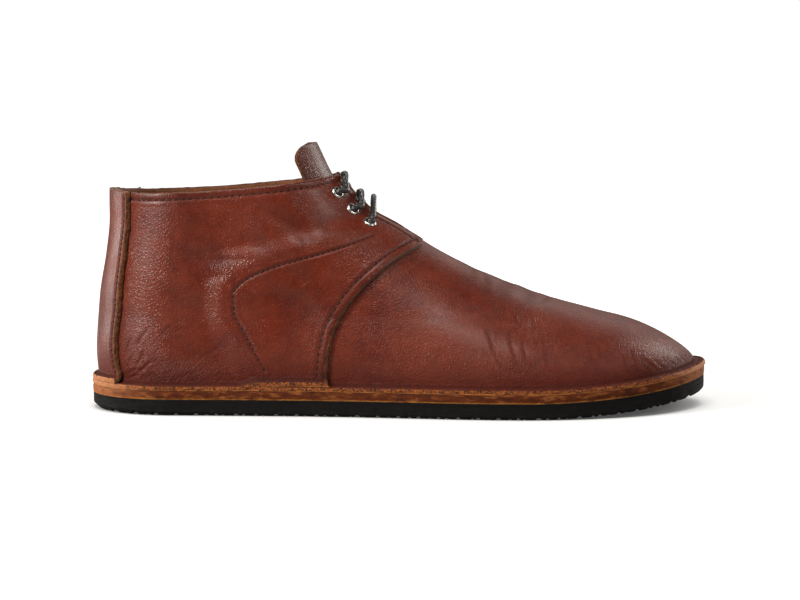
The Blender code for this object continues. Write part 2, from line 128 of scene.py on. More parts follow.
# The front edge of the quarters, from the sole up to the throat.
FRONT_EDGE = (
    EdgePoint(row=0.00, x=107),
    EdgePoint(row=0.15, x=109),
    EdgePoint(row=0.30, x=113.5),
    EdgePoint(row=0.45, x=121),
    EdgePoint(row=0.58, x=131),
    EdgePoint(row=0.66, x=140),
    EdgePoint(row=0.72, x=152),
    EdgePoint(row=0.78, x=170),
    EdgePoint(row=1.00, x=230),
)
# The rear edge of the vamp, which lies under the quarters and shows as a step in them.
VAMP_REAR = (
    EdgePoint(row=0.00, x=77),
    EdgePoint(row=0.18, x=68),
    EdgePoint(row=0.34, x=61.5),
    EdgePoint(row=0.46, x=61),
    EdgePoint(row=0.56, x=67),
    EdgePoint(row=0.66, x=84),
    EdgePoint(row=0.73, x=106),
    EdgePoint(row=0.80, x=128),
    EdgePoint(row=1.00, x=190),
)

# Leather sheets
BEND_SHARE = 0.42
FLANGE_EDGE = FLANGE_REACH - 0.0002
SHEET_GAP = 0.00012
OVERLAP_RAMP = 0.011
UNDERSIDE_STEP = 0.0008
CORNER_SHARPNESS = 60.0
PANEL_SKIVE = 0.0010
FRONT_SKIVE = 0.0011
EDGE_BULGE = 0.00030
EDGE_FUZZ = 0.00011
EDGE_LUMPS = 0.00019
TOP_EDGE_ROUGHNESS = 0.35
# Darker towards the cut edges: burnish along with painted shade where the sheets meet
EDGE_SHADE_AND_BURNISH_REACH = 0.0016
EDGE_SHADE_AND_BURNISH_FROM_ROW = -0.6
# Reach of the paler heel and toe ends of the edges: a painted highlight along with wear
HEEL_HIGHLIGHT_AND_WEAR_START = -0.004
HEEL_HIGHLIGHT_AND_WEAR_SPAN = 0.030
TOE_HIGHLIGHT_AND_WEAR_REACH = 0.024
TOE_HIGHLIGHT_AND_WEAR_SPAN = 0.026
# Painted shade at the foot of the wall where it turns out over the flange: its strength, its row and its
# reach above and below
FOOT_SHADE = 1.6
FOOT_SHADE_ROW = -0.14
FOOT_SHADE_ABOVE = 0.16
FOOT_SHADE_BELOW = 0.34
FLANGE_FADE = 0.35
RIM_SHARES = (0.08, 0.26, 0.5, 0.74, 0.92)
UNDULATION = 0.00022
FOOT_ROWS = 0.12
FILLET_LIMIT = 0.6
VAMP_TOP_FADE_START = 0.02
VAMP_TOP_FADE = 0.11
SEAM_DEPTH = 0.00034
SEAM_WIDTH = 0.0008
FRONT_SEAM_ROWS = (-0.30, 0.985)
FRONT_SEAM_INSET = 0.0036
REAR_SEAM_ROWS = (0.01, 0.80)
REAR_SEAM_INSET = 0.0032
REAR_SEAM_CLEARANCE = 0.0225
COLLAR_SEAM_INSET = 0.0031
COLLAR_SEAM_STOP = 0.03
PANEL_SEAM_ROWS = (0.0, 0.985)
PANEL_SEAM_INSET = 0.0016
THROAT_SEAM_ROWS_DOWN = 0.014
THROAT_SEAM_HALF_WIDTH = 0.016
FLANGE_SEAM_ROW = -0.74
FLANGE_SEAM_POINTS = 500
VAMP_TOP_OVER_THROAT = 0.050
TONGUE_DIP = 0.0030
TONGUE_PRESS_START = 0.01
TONGUE_PRESS_ROWS = 0.06
TONGUE_RELEASE_ROW = 0.97
TONGUE_RELEASE_ROWS = 0.12
TONGUE_RELEASE = 0.75
TONGUE_CORNER = 0.050
TONGUE_TOP_SHARE = 0.62
TONGUE_LEVEL_FROM = 0.90
TONGUE_RISE_PER_ROW = 0.170

# Creases: where they start on the wall, and the lips beside a trough in shares of its width and depth
CREASE_FOOT_ROWS = 0.02
CREASE_FOOT_SHARE = 0.2
LIP_PLACE = 1.9
LIP_WIDTH = 1.1
LIP_HEIGHT = 0.35
CREASE_REACH = 3.5

# Thread
STITCH_PITCH = 0.0032
FINE_STITCH_PITCH = 0.0026
SOLE_STITCH_PITCH = 0.0052
THREAD_RADIUS = 0.00034
FLANGE_THREAD_RADIUS = 0.00045
STITCH_SHARE = 0.40
STITCH_LEAN = 0.06
STITCH_SET = 0.75

Crease = namedtuple("Crease", "x h x_end h_end bow depth width")
# Fine wrinkles low on the quarter, which run up and forwards from the foot of the heel panel.
HEEL_WRINKLES = (
    Crease(x=11.5, h=4.5, x_end=19, h_end=9.5, bow=0.5, depth=0.38, width=0.75),
    Crease(x=12.5, h=3.6, x_end=20.5, h_end=6.8, bow=0.4, depth=0.36, width=0.70),
    Crease(x=14, h=4.5, x_end=28, h_end=17, bow=-0.9, depth=0.34, width=0.80),
    Crease(x=13, h=9, x_end=17, h_end=16.5, bow=0.5, depth=0.25, width=0.65),
    Crease(x=17, h=10, x_end=22, h_end=19, bow=-0.5, depth=0.25, width=0.65),
    Crease(x=20, h=4, x_end=27, h_end=7.5, bow=0.4, depth=0.25, width=0.65),
    Crease(x=24.5, h=8.5, x_end=27.5, h_end=4.8, bow=0.3, depth=0.18, width=0.60),
    Crease(x=12.5, h=16, x_end=16, h_end=24, bow=0.5, depth=0.16, width=0.65),
    Crease(x=23, h=12, x_end=29, h_end=15, bow=-0.4, depth=0.15, width=0.60),
    Crease(x=18, h=20, x_end=24, h_end=28, bow=0.7, depth=0.16, width=0.80),
    Crease(x=30, h=5, x_end=36, h_end=9.5, bow=0.4, depth=0.15, width=0.70),
    Crease(x=38, h=5, x_end=48, h_end=9, bow=0.5, depth=0.13, width=0.90),
    Crease(x=29, h=24, x_end=37, h_end=31, bow=0.8, depth=0.12, width=1.00),
    Crease(x=46, h=14, x_end=57, h_end=21, bow=-0.9, depth=0.14, width=1.10),
)
# Soft folds where the ankle bends.
ANKLE_FOLDS = (
    Crease(x=74, h=84, x_end=101, h_end=66, bow=2.5, depth=0.75, width=3.4),
    Crease(x=66, h=70, x_end=98, h_end=49, bow=3.5, depth=0.80, width=3.8),
    Crease(x=79, h=45, x_end=108, h_end=30, bow=2.5, depth=0.60, width=3.4),
    Crease(x=34, h=66, x_end=62, h_end=61, bow=-2.0, depth=0.40, width=3.4),
    Crease(x=30, h=44, x_end=55, h_end=35, bow=1.5, depth=0.40, width=3.6),
)
# Flex lines on the sides of the vamp, by the ball of the foot and along the toes.
BALL_CREASES = (
    Crease(x=188, h=9, x_end=180, h_end=31, bow=1.6, depth=0.21, width=1.0),
    Crease(x=196, h=8, x_end=190, h_end=29, bow=1.4, depth=0.25, width=0.9),
    Crease(x=200, h=8, x_end=196, h_end=27, bow=1.2, depth=0.20, width=0.8),
    Crease(x=209, h=8, x_end=207, h_end=21, bow=0.8, depth=0.15, width=0.9),
    Crease(x=141, h=10, x_end=133, h_end=26, bow=1.2, depth=0.16, width=1.2),
    Crease(x=229, h=10, x_end=227.5, h_end=19.5, bow=0.5, depth=0.15, width=0.80),
    Crease(x=233.5, h=12, x_end=231.5, h_end=20, bow=0.5, depth=0.13, width=0.75),
    Crease(x=245, h=7, x_end=243, h_end=15, bow=0.4, depth=0.10, width=0.80),
    Crease(x=249.5, h=8, x_end=247, h_end=18, bow=0.6, depth=0.15, width=0.80),
    Crease(x=253.5, h=9, x_end=252, h_end=16, bow=0.4, depth=0.11, width=0.70),
)
TopCrease = namedtuple("TopCrease", "x y x_end y_end bow depth width")
# Soft flex folds over the top of the vamp, from the outer side to the inner side.
VAMP_FOLDS = (
    TopCrease(x=196, y=-36, x_end=200, y_end=36, bow=5, depth=0.22, width=3.8),
    TopCrease(x=183, y=-38, x_end=187, y_end=34, bow=6, depth=0.20, width=3.8),
    TopCrease(x=171, y=-26, x_end=173, y_end=26, bow=4, depth=0.14, width=3.2),
    TopCrease(x=206, y=-18, x_end=211, y_end=27, bow=3, depth=0.12, width=2.2),
    TopCrease(x=191, y=-8, x_end=194, y_end=28, bow=2, depth=0.14, width=1.4),
    TopCrease(x=178, y=-31, x_end=179, y_end=4, bow=3, depth=0.08, width=2.2),
)


def smooth_curve(places, values):
    """A cubic through the values that never overshoots them."""
    places = np.array(places, float)
    values = np.array(values, float)
    widths = np.diff(places)
    steps = np.diff(values) / widths
    slopes = np.concatenate([steps[:1], np.zeros(len(places) - 2), steps[-1:]])
    same_way = steps[:-1] * steps[1:] > 0
    total = np.where(same_way, steps[:-1] + steps[1:], 1.0)
    slopes[1:-1] = np.where(same_way, 2 * steps[:-1] * steps[1:] / total, 0.0)

    def value(place):
        place = np.clip(place, places[0], places[-1])
        i = np.clip(np.searchsorted(places, place) - 1, 0, len(widths) - 1)
        u = (place - places[i]) / widths[i]
        low = values[i] * (1 + 2 * u) + slopes[i] * widths[i] * u
        high = values[i + 1] * (3 - 2 * u) - slopes[i + 1] * widths[i] * (1 - u)
        return low * (1 - u) ** 2 + high * u**2

    return value


def station_curve(column, scale=MM):
    values = [getattr(station, column) * scale for station in STATIONS]
    return smooth_curve([station.x * MM for station in STATIONS], values)


def edge_curve(points):
    return smooth_curve([point.row for point in points], [point.x * MM for point in points])


centre_line = station_curve("centre")
outer_reach = station_curve("outer")
inner_reach = station_curve("inner")
ridge_line = station_curve("ridge")
tall_exponent = station_curve("tall", 1.0)
wide_exponent = station_curve("wide", 1.0)
back_line = smooth_curve([p.h * MM for p in BACK_LINE], [p.x * MM for p in BACK_LINE])
belly_share = smooth_curve(
    (0, 0.125, 0.25, 0.375, 0.5, 0.625, 0.75, 0.875, 1.0, 1.25, 1.6),
    (0, 0.383, 0.707, 0.924, 1.0, 0.924, 0.707, 0.383, 0.07, 0.0, 0.0))
front_edge_x = edge_curve(FRONT_EDGE)
vamp_rear_x = edge_curve(VAMP_REAR)


def rounded_end(distance, reach):
    """The rise of an elliptical end: 0 at the end itself and 1 from its reach onwards."""
    left = np.clip(1 - distance / reach, 0.0, 1.0)
    return np.sqrt(1 - left**2)


def ease(u):
    u = np.clip(u, 0.0, 1.0)
    return u * u * (3 - 2 * u)


def toe_spring(x):
    """How far the sole curls up from the floor towards the toe."""
    return TOE_SPRING * np.clip((x - SPRING_START) / (LAST_LENGTH - SPRING_START), 0.0, None) ** 2


def ridge_height(x):
    return ridge_line(x) * rounded_end(LAST_LENGTH - x, TOE_RISE_REACH)


def half_width(inner_side, x, h):
    """The distance from the centre line to the wall, at a place x along the boot and a height h."""
    shifted = x - back_line(h) * (1 - ease(x / BACK_FADE))
    reach = np.where(inner_side, inner_reach(shifted), outer_reach(shifted))
    toe_reach = np.where(inner_side, INNER_TOE_REACH, OUTER_TOE_REACH)
    ends = rounded_end(shifted, HEEL_REACH) * rounded_end(LAST_LENGTH - shifted, toe_reach)
    belly = 1 + BELLY * belly_share(h / BELLY_HEIGHT)
    height_share = np.clip(h / np.maximum(ridge_height(x), 1e-6), 0.0, 1.0)
    section = (1 - height_share ** tall_exponent(x)) ** (1 / wide_exponent(x))
    return reach * ends * belly * section


def trace_ridge():
    """The top line from toe to shin as rows and their x."""
    x_end = STATIONS[2].x * MM
    x = LAST_LENGTH - (LAST_LENGTH - x_end) * np.linspace(0, 1, 1500) ** 2
    h = ridge_height(x)
    run = np.concatenate([[0], np.cumsum(np.hypot(np.diff(x), np.diff(h)))])
    start = np.interp(WALL_START, h, run)
    end = np.interp(COLLAR_FRONT_HEIGHT, h, run)
    return (run - start) / (end - start), x


RIDGE_ROWS, RIDGE_X = trace_ridge()
THROAT_ROW = float(np.interp(-THROAT_X, -RIDGE_X, RIDGE_ROWS))
VAMP_TOP = THROAT_ROW + VAMP_TOP_OVER_THROAT


def back_height(row):
    return WALL_START + (COLLAR_BACK_HEIGHT - WALL_START) * row


def collar_dip(row, turn):
    """How far the collar dips at the sides of the ankle."""
    return COLLAR_DIP * np.clip(row, 0, None) ** 4 * np.abs(np.sin(np.pi * turn))


def last_point(row, turn):
    """A point of the upper's outer surface."""
    turn = (turn + 1) % 2 - 1
    back_h = back_height(row)
    front_x = np.interp(row, RIDGE_ROWS, RIDGE_X)
    along = (1 - np.cos(np.pi * np.abs(turn))) / 2
    x = back_line(back_h) * (1 - along) + front_x * along
    h = back_h * (1 - along) + ridge_height(front_x) * along - collar_dip(row, turn)
    inner_side = turn > 0
    y = centre_line(x) + np.where(inner_side, 1, -1) * half_width(inner_side, x, h)
    return np.stack([x, y, SOLE_SEAT + toe_spring(x) + h], axis=-1)


def unit(vectors):
    return vectors / np.maximum(np.linalg.norm(vectors, axis=-1, keepdims=True), 1e-12)


def surface_normal(surface, row, turn, step=1e-4):
    """The outward normal of any surface that is given by row and turn, or by x and y."""
    up = surface(row + step, turn) - surface(row - step, turn)
    around = surface(row, turn + step) - surface(row, turn - step)
    return unit(np.cross(up, around))


def turn_at_width(row, width, near_ridge):
    """How far round each row the outer wall is this far from the centre line, by the ridge or by the heel."""
    low = np.full(np.shape(row), 0.5)
    high = np.full(np.shape(row), 1.0 if near_ridge else 0.0)
    for _ in range(40):
        middle = (low + high) / 2
        point = last_point(row, -middle)
        beyond = centre_line(point[..., 0]) - point[..., 1] < width
        high = np.where(beyond, middle, high)
        low = np.where(beyond, low, middle)
    return (low + high) / 2


def turn_at_x(row, x):
    """How far round each row the wall is at x."""
    back_x = back_line(back_height(row))
    front_x = np.interp(row, RIDGE_ROWS, RIDGE_X)
    along = np.clip((x - back_x) / (front_x - back_x), 0.0, 1.0)
    return np.arccos(1 - 2 * along) / np.pi


def sole_outline(turn, reach):
    """The plan outline that lies this far outside the foot of the wall, as x and y."""
    step = 1e-4
    row = np.zeros(np.shape(turn))
    around = last_point(row, turn + step) - last_point(row, turn - step)
    outward = unit(np.stack([-around[..., 1], around[..., 0]], axis=-1))
    return last_point(row, turn)[..., :2] + outward * np.asarray(reach)[..., None]


def boot_offset():
    """Moves the middle of the sole's plan to the origin."""
    outline = sole_outline(np.linspace(-1, 1, 2001), FLANGE_REACH)
    middle = (outline.min(axis=0) + outline.max(axis=0)) / 2
    return np.array([-middle[0], -middle[1], 0.0])


BOOT_OFFSET = boot_offset()

WAVE_COUNT = 7
WAVE_VECTORS = unit(rng.normal(size=(WAVE_COUNT, 3))) * rng.uniform(110, 260, size=(WAVE_COUNT, 1))
WAVE_PHASES = rng.uniform(0, 2 * np.pi, WAVE_COUNT)


def undulation(points):
    """Slow swells that keep the leather from looking machined."""
    return UNDULATION * np.sin(points @ WAVE_VECTORS.T + WAVE_PHASES).sum(axis=-1) / np.sqrt(WAVE_COUNT)


def wall_row_under(row, lift):
    """The wall's own row under a sheet's row: a sheet that lies on others starts higher up the wall."""
    start = np.clip(lift, 0.0, None) / (COLLAR_BACK_HEIGHT - WALL_START)
    return np.where(row > 1, row, start + (1 - start) * np.clip(row, 0.0, None))


def ends_highlight_and_wear(x):
    """1 at the very heel and toe and 0 along the sides: how much paler the edges are there, a painted
    highlight along with wear.
    """
    heel = 1 - ease((x - HEEL_HIGHLIGHT_AND_WEAR_START) / HEEL_HIGHLIGHT_AND_WEAR_SPAN)
    return np.maximum(heel, ease((x - LAST_LENGTH + TOE_HIGHLIGHT_AND_WEAR_REACH) / TOE_HIGHLIGHT_AND_WEAR_SPAN))


def sheet_point(row, turn, lift):
    """A point of a leather sheet that stands off the wall, and below row 0 turns out over the flange."""
    wall_row = wall_row_under(row, lift)
    base = last_point(wall_row, turn)
    swell = undulation(base) * ease(row / FOOT_ROWS)
    wall = base + surface_normal(last_point, wall_row, turn) * (lift + swell)[..., None]
    bend = np.clip(-row / BEND_SHARE, 0.0, 1.0) * np.pi / 2
    flat = np.clip((-row - BEND_SHARE) / (1 - BEND_SHARE), 0.0, 1.0)
    way = sole_outline(turn, FLANGE_EDGE) - wall[..., :2]
    span = np.maximum(np.linalg.norm(way, axis=-1), 1e-9)
    top = SOLE_SEAT + LEATHER + np.clip(lift, 0.0, None)
    drop = wall[..., 2] - toe_spring(wall[..., 0]) - top
    fillet = np.minimum(np.clip(drop, 0.0, None), FILLET_LIMIT * span)
    reach = (fillet * (1 - np.cos(bend)) + (span - fillet) * flat) / span
    plan = wall[..., :2] + way * reach[..., None]
    z = top + drop * (1 - np.sin(bend)) + toe_spring(plan[..., 0])
    return np.concatenate([plan, z[..., None]], axis=-1)


def over_vamp(row, turn, start, ramp):
    """How far a sheet rises to pass over the vamp, in front of its rear edge and below its top edge."""
    wall = np.clip(row, 0.0, 1.0)
    x = last_point(wall, turn)[..., 0]
    step = 1e-3
    rise = 2 * step * (COLLAR_BACK_HEIGHT - WALL_START)
    lean = (vamp_rear_x(wall + step) - vamp_rear_x(wall - step)) / rise
    past = (x - vamp_rear_x(wall)) / np.sqrt(1 + lean**2)
    risen = ease((past + start) / ramp)
    below_top = 1 - ease((wall - VAMP_TOP + VAMP_TOP_FADE_START) / VAMP_TOP_FADE)
    return (LEATHER + SHEET_GAP) * risen * below_top


def quarter_lift(row, turn):
    """The quarters' outer side rises gently over the vamp's rear edge."""
    return over_vamp(row, turn, 1.1 * OVERLAP_RAMP, OVERLAP_RAMP)


def quarter_underside(row, turn):
    """Their flesh side keeps to the wall until just before that edge, so no hollow is left behind it."""
    return over_vamp(row, turn, UNDERSIDE_STEP, UNDERSIDE_STEP)


def vamp_surface(row, turn):
    return sheet_point(row, turn, np.zeros(np.shape(row)))


def quarter_surface(row, turn):
    return sheet_point(row, turn, quarter_lift(row, turn))


def panel_surface(row, turn):
    return sheet_point(row, turn, np.full(np.shape(row), LEATHER + SHEET_GAP))


def tongue_surface(row, turn):
    """The tongue lies under the vamp at its foot and is pressed down by the lace further up."""
    released = TONGUE_RELEASE * ease((row - TONGUE_RELEASE_ROW) / TONGUE_RELEASE_ROWS)
    pressed = ease((row - THROAT_ROW - TONGUE_PRESS_START) / TONGUE_PRESS_ROWS) * (1 - released)
    lift = -LEATHER - 2 * GAP - TONGUE_DIP * pressed
    return sheet_point(row, turn, lift)


def front_turn(row):
    """The front edge of the quarters: a sweep up over the vamp, then the facings beside the tongue."""
    wall = np.clip(row, 0.0, 1.0)
    sweep = turn_at_x(wall, front_edge_x(wall))
    facing = turn_at_width(wall, FACING_HALF_GAP, near_ridge=True)
    k = CORNER_SHARPNESS
    return -np.log(np.exp(-k * sweep) + np.exp(-k * facing)) / k


def panel_turn(row):
    wall = np.clip(row, 0.0, 1.0)
    width = HEEL_PANEL_HALF_WIDTH_LOW + (HEEL_PANEL_HALF_WIDTH_HIGH - HEEL_PANEL_HALF_WIDTH_LOW) * wall
    return turn_at_width(wall, width, near_ridge=False)


def inset_path(surface, row, turn, distance):
    """The rows and turns that lie this far inside an edge, towards the side where the turn is smaller."""
    step = 1e-4
    up = (surface(row + step, turn) - surface(row - step, turn)) / (2 * step)
    around = (surface(row, turn + step) - surface(row, turn - step)) / (2 * step)
    tangent = unit(np.gradient(surface(row, turn), axis=0))
    inward = unit(np.cross(np.cross(up, around), tangent))
    towards_heel = -around * np.sign(turn)[:, None]
    inward *= np.where((inward * towards_heel).sum(axis=-1) < 0, -1.0, 1.0)[:, None]
    frame_of_surface = np.stack([up, around], axis=-1)
    moves = np.einsum("nij,nj->ni", np.linalg.pinv(frame_of_surface), inward * distance)
    return row + moves[:, 0], turn + moves[:, 1]


def side_crease(crease, side):
    """Points along a crease on one side of the boot, with its depth and width."""
    length = np.hypot(crease.x_end - crease.x, crease.h_end - crease.h)
    share = np.linspace(0, 1, max(9, int(length / (0.4 * crease.width))))
    bow = crease.bow * np.sin(np.pi * share) / length
    x = crease.x + (crease.x_end - crease.x) * share - (crease.h_end - crease.h) * bow
    h = crease.h + (crease.h_end - crease.h) * share + (crease.x_end - crease.x) * bow
    x, h = x * MM, h * MM
    y = centre_line(x) + side * half_width(side > 0, x, h)
    points = np.stack([x, y, SOLE_SEAT + toe_spring(x) + h], axis=-1)
    return points, crease.depth * MM, crease.width * MM


def crown_point(x, y):
    """A point of the upper's top, seen from above."""
    inner_side = y > centre_line(x)
    reach = np.where(inner_side, inner_reach(x), outer_reach(x))
    share = np.clip(np.abs(y - centre_line(x)) / reach, 0.0, 1.0)
    h = ridge_height(x) * (1 - share ** wide_exponent(x)) ** (1 / tall_exponent(x))
    return np.stack([x, y, SOLE_SEAT + toe_spring(x) + h], axis=-1)


def top_crease(crease):
    share = np.linspace(0, 1, 48)
    x = crease.x + (crease.x_end - crease.x) * share + crease.bow * np.sin(np.pi * share)
    y = crease.y + (crease.y_end - crease.y) * share
    return crown_point(x * MM, y * MM), crease.depth * MM, crease.width * MM


def toe_pleats():
    """Short pleats where the leather is drawn round the toe, at the foot of the wall."""
    share = np.linspace(0, 1, 16)
    for turn in np.concatenate([np.linspace(0.855, 0.985, 9), -np.linspace(0.80, 0.985, 11)]):
        turn = turn + rng.uniform(-0.006, 0.006)
        reach = rng.uniform(0.03, 0.055)
        points = last_point(reach * share, turn + 0.006 * share * rng.uniform(-1, 1))
        yield points, rng.uniform(0.14, 0.30) * MM, rng.uniform(0.65, 0.95) * MM


def press_lines(points, lines, tapered=True):
    """How far a set of lines sinks the surface at each point, and how much it shades it there."""
    sink = np.zeros(len(points))
    shade = np.zeros(len(points))
    for line, depth, width in lines:
        reach = CREASE_REACH * width
        near = np.all((points > line.min(axis=0) - reach) & (points < line.max(axis=0) + reach), axis=1)
        where = np.flatnonzero(near)
        if not len(where):
            continue
        away, nearest = nearest_on_line(points[where], line)
        share = nearest / (len(line) - 1)
        strength = np.sqrt(np.clip(np.sin(np.pi * share), 0.0, 1.0)) if tapered else 1.0
        trough = np.exp(-((away / width) ** 2))
        lips = np.exp(-(((away - LIP_PLACE * width) / (LIP_WIDTH * width)) ** 2))
        sink[where] += strength * depth * (LIP_HEIGHT * lips - trough)
        shade[where] = np.maximum(shade[where], strength * trough * min(1.0, 0.5 * MM / width + 0.2))
    return sink, shade


def nearest_on_line(points, line, block=4000):
    """The distance from each point to a line of points, and the number of the line's nearest point."""
    away = np.empty(len(points))
    nearest = np.empty(len(points), int)
    for start in range(0, len(points), block):
        part = points[start:start + block]
        squares = ((part[:, None, :] - line[None, :, :]) ** 2).sum(axis=-1)
        nearest[start:start + block] = squares.argmin(axis=1)
        away[start:start + block] = np.sqrt(squares.min(axis=1))
    return away, nearest


def boundary(grid):
    """The edge of a grid in order: along its first row, up its last column, back and down."""
    return np.concatenate([grid[0, :-1], grid[:-1, -1], grid[-1, :0:-1], grid[:0:-1, 0]])


def ragged(count, size, spread=2):
    """A closed ring of small random offsets, smoothed over its neighbours."""
    offsets = rng.normal(size=count)
    for _ in range(spread):
        offsets = (np.roll(offsets, 1) + 2 * offsets + np.roll(offsets, -1)) / 4
    return offsets * size / max(offsets.std(), 1e-9)


def quads(numbers):
    """Faces of a grid of vertex numbers that look along rows crossed with columns."""
    corners = (numbers[:-1, 1:], numbers[:-1, :-1], numbers[1:, :-1], numbers[1:, 1:])
    return np.stack(corners, axis=-1).reshape(-1, 4)


def add_piece(name, points, faces, materials, zones=None, attributes=None):
    mesh = bpy.data.meshes.new(name)
    mesh.from_pydata((points + BOOT_OFFSET).tolist(), [], faces)
    mesh.shade_smooth()
    for material in materials:
        mesh.materials.append(material)
    if zones is not None:
        mesh.polygons.foreach_set("material_index", np.asarray(zones, np.int32))
    for label, values in (attributes or {}).items():
        layer = mesh.attributes.new(label, "FLOAT", "POINT")
        layer.data.foreach_set("value", np.asarray(values, np.float32))
    mesh.validate()
    piece = bpy.data.objects.new(name, mesh)
    bpy.context.scene.collection.objects.link(piece)
    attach(piece, "root")
    return piece


OUTSIDE, INSIDE, CUT_EDGE, FLANGE_CUT = 0, 1, 2, 3


def shell_piece(name, outer, loops, inner, materials, attributes=None):
    """A closed shell: an outer grid, loops round its cut edge and an inner grid of half as many points."""
    layers = [outer.reshape(-1, 3), *loops, inner.reshape(-1, 3)]
    starts = np.cumsum([0, *[len(layer) for layer in layers]])
    outer_numbers = np.arange(len(layers[0])).reshape(outer.shape[:2])
    inner_numbers = starts[-2] + np.arange(len(layers[-1])).reshape(inner.shape[:2])
    faces = quads(outer_numbers).tolist()
    zones = [OUTSIDE] * len(faces)
    rings = [boundary(outer_numbers)]
    rings += [np.arange(start, start + len(loop)) for start, loop in zip(starts[1:], loops)]
    for ring, after in zip(rings, rings[1:]):
        strip = np.stack([ring, np.roll(ring, -1), np.roll(after, -1), after], axis=-1)
        faces += strip.tolist()
        zones += np.where(np.arange(len(strip)) < outer.shape[1] - 1, FLANGE_CUT, CUT_EDGE).tolist()
    fine = rings[-1]
    coarse = boundary(inner_numbers)
    start, middle, end = fine[0::2], fine[1::2], np.roll(fine, -2)[0::2]
    following = np.roll(coarse, -1)
    for corners in ((start, middle, coarse), (middle, following, coarse), (middle, end, following)):
        faces += np.stack(corners, axis=-1).tolist()
        zones += np.where(np.arange(len(start)) < (outer.shape[1] - 1) // 2, FLANGE_CUT, CUT_EDGE).tolist()
    inner_faces = quads(inner_numbers)[:, ::-1].tolist()
    faces += inner_faces
    zones += [INSIDE] * len(inner_faces)
    padded = {}
    for label, values in (attributes or {}).items():
        padded[label] = np.zeros(starts[-1])
        padded[label][:len(values)] = values
    return add_piece(name, np.concatenate(layers), faces, materials, zones, padded)


def edge_distance(points):
    """How far each point of a grid lies from the grid's nearest edge, along rows and columns."""
    up = np.zeros(points.shape[:2])
    up[1:] = np.cumsum(np.linalg.norm(np.diff(points, axis=0), axis=-1), axis=0)
    around = np.zeros(points.shape[:2])
    around[:, 1:] = np.cumsum(np.linalg.norm(np.diff(points, axis=1), axis=-1), axis=1)
    return np.minimum(np.minimum(up, up[-1:] - up), np.minimum(around, around[:, -1:] - around))


Patch = namedtuple("Patch", "x h reach_x reach_h")
# Where the leather is finely wrinkled, on both sides.
HEEL_PATCHES = (Patch(x=17, h=11, reach_x=13, reach_h=13), Patch(x=30, h=7, reach_x=22, reach_h=6))
VAMP_PATCHES = (Patch(x=192, h=18, reach_x=17, reach_h=15), Patch(x=268, h=5, reach_x=22, reach_h=5),
                Patch(x=248, h=12, reach_x=9, reach_h=9))


def wrinkled_share(points, patches):
    """How finely wrinkled the leather is at each point, from 0 to 1."""
    share = np.zeros(len(points))
    h = points[:, 2] - SOLE_SEAT - toe_spring(points[:, 0])
    for patch in patches:
        along = (points[:, 0] / MM - patch.x) / patch.reach_x
        up = (h / MM - patch.h) / patch.reach_h
        share = np.maximum(share, np.exp(-(along**2 + up**2)))
    return share


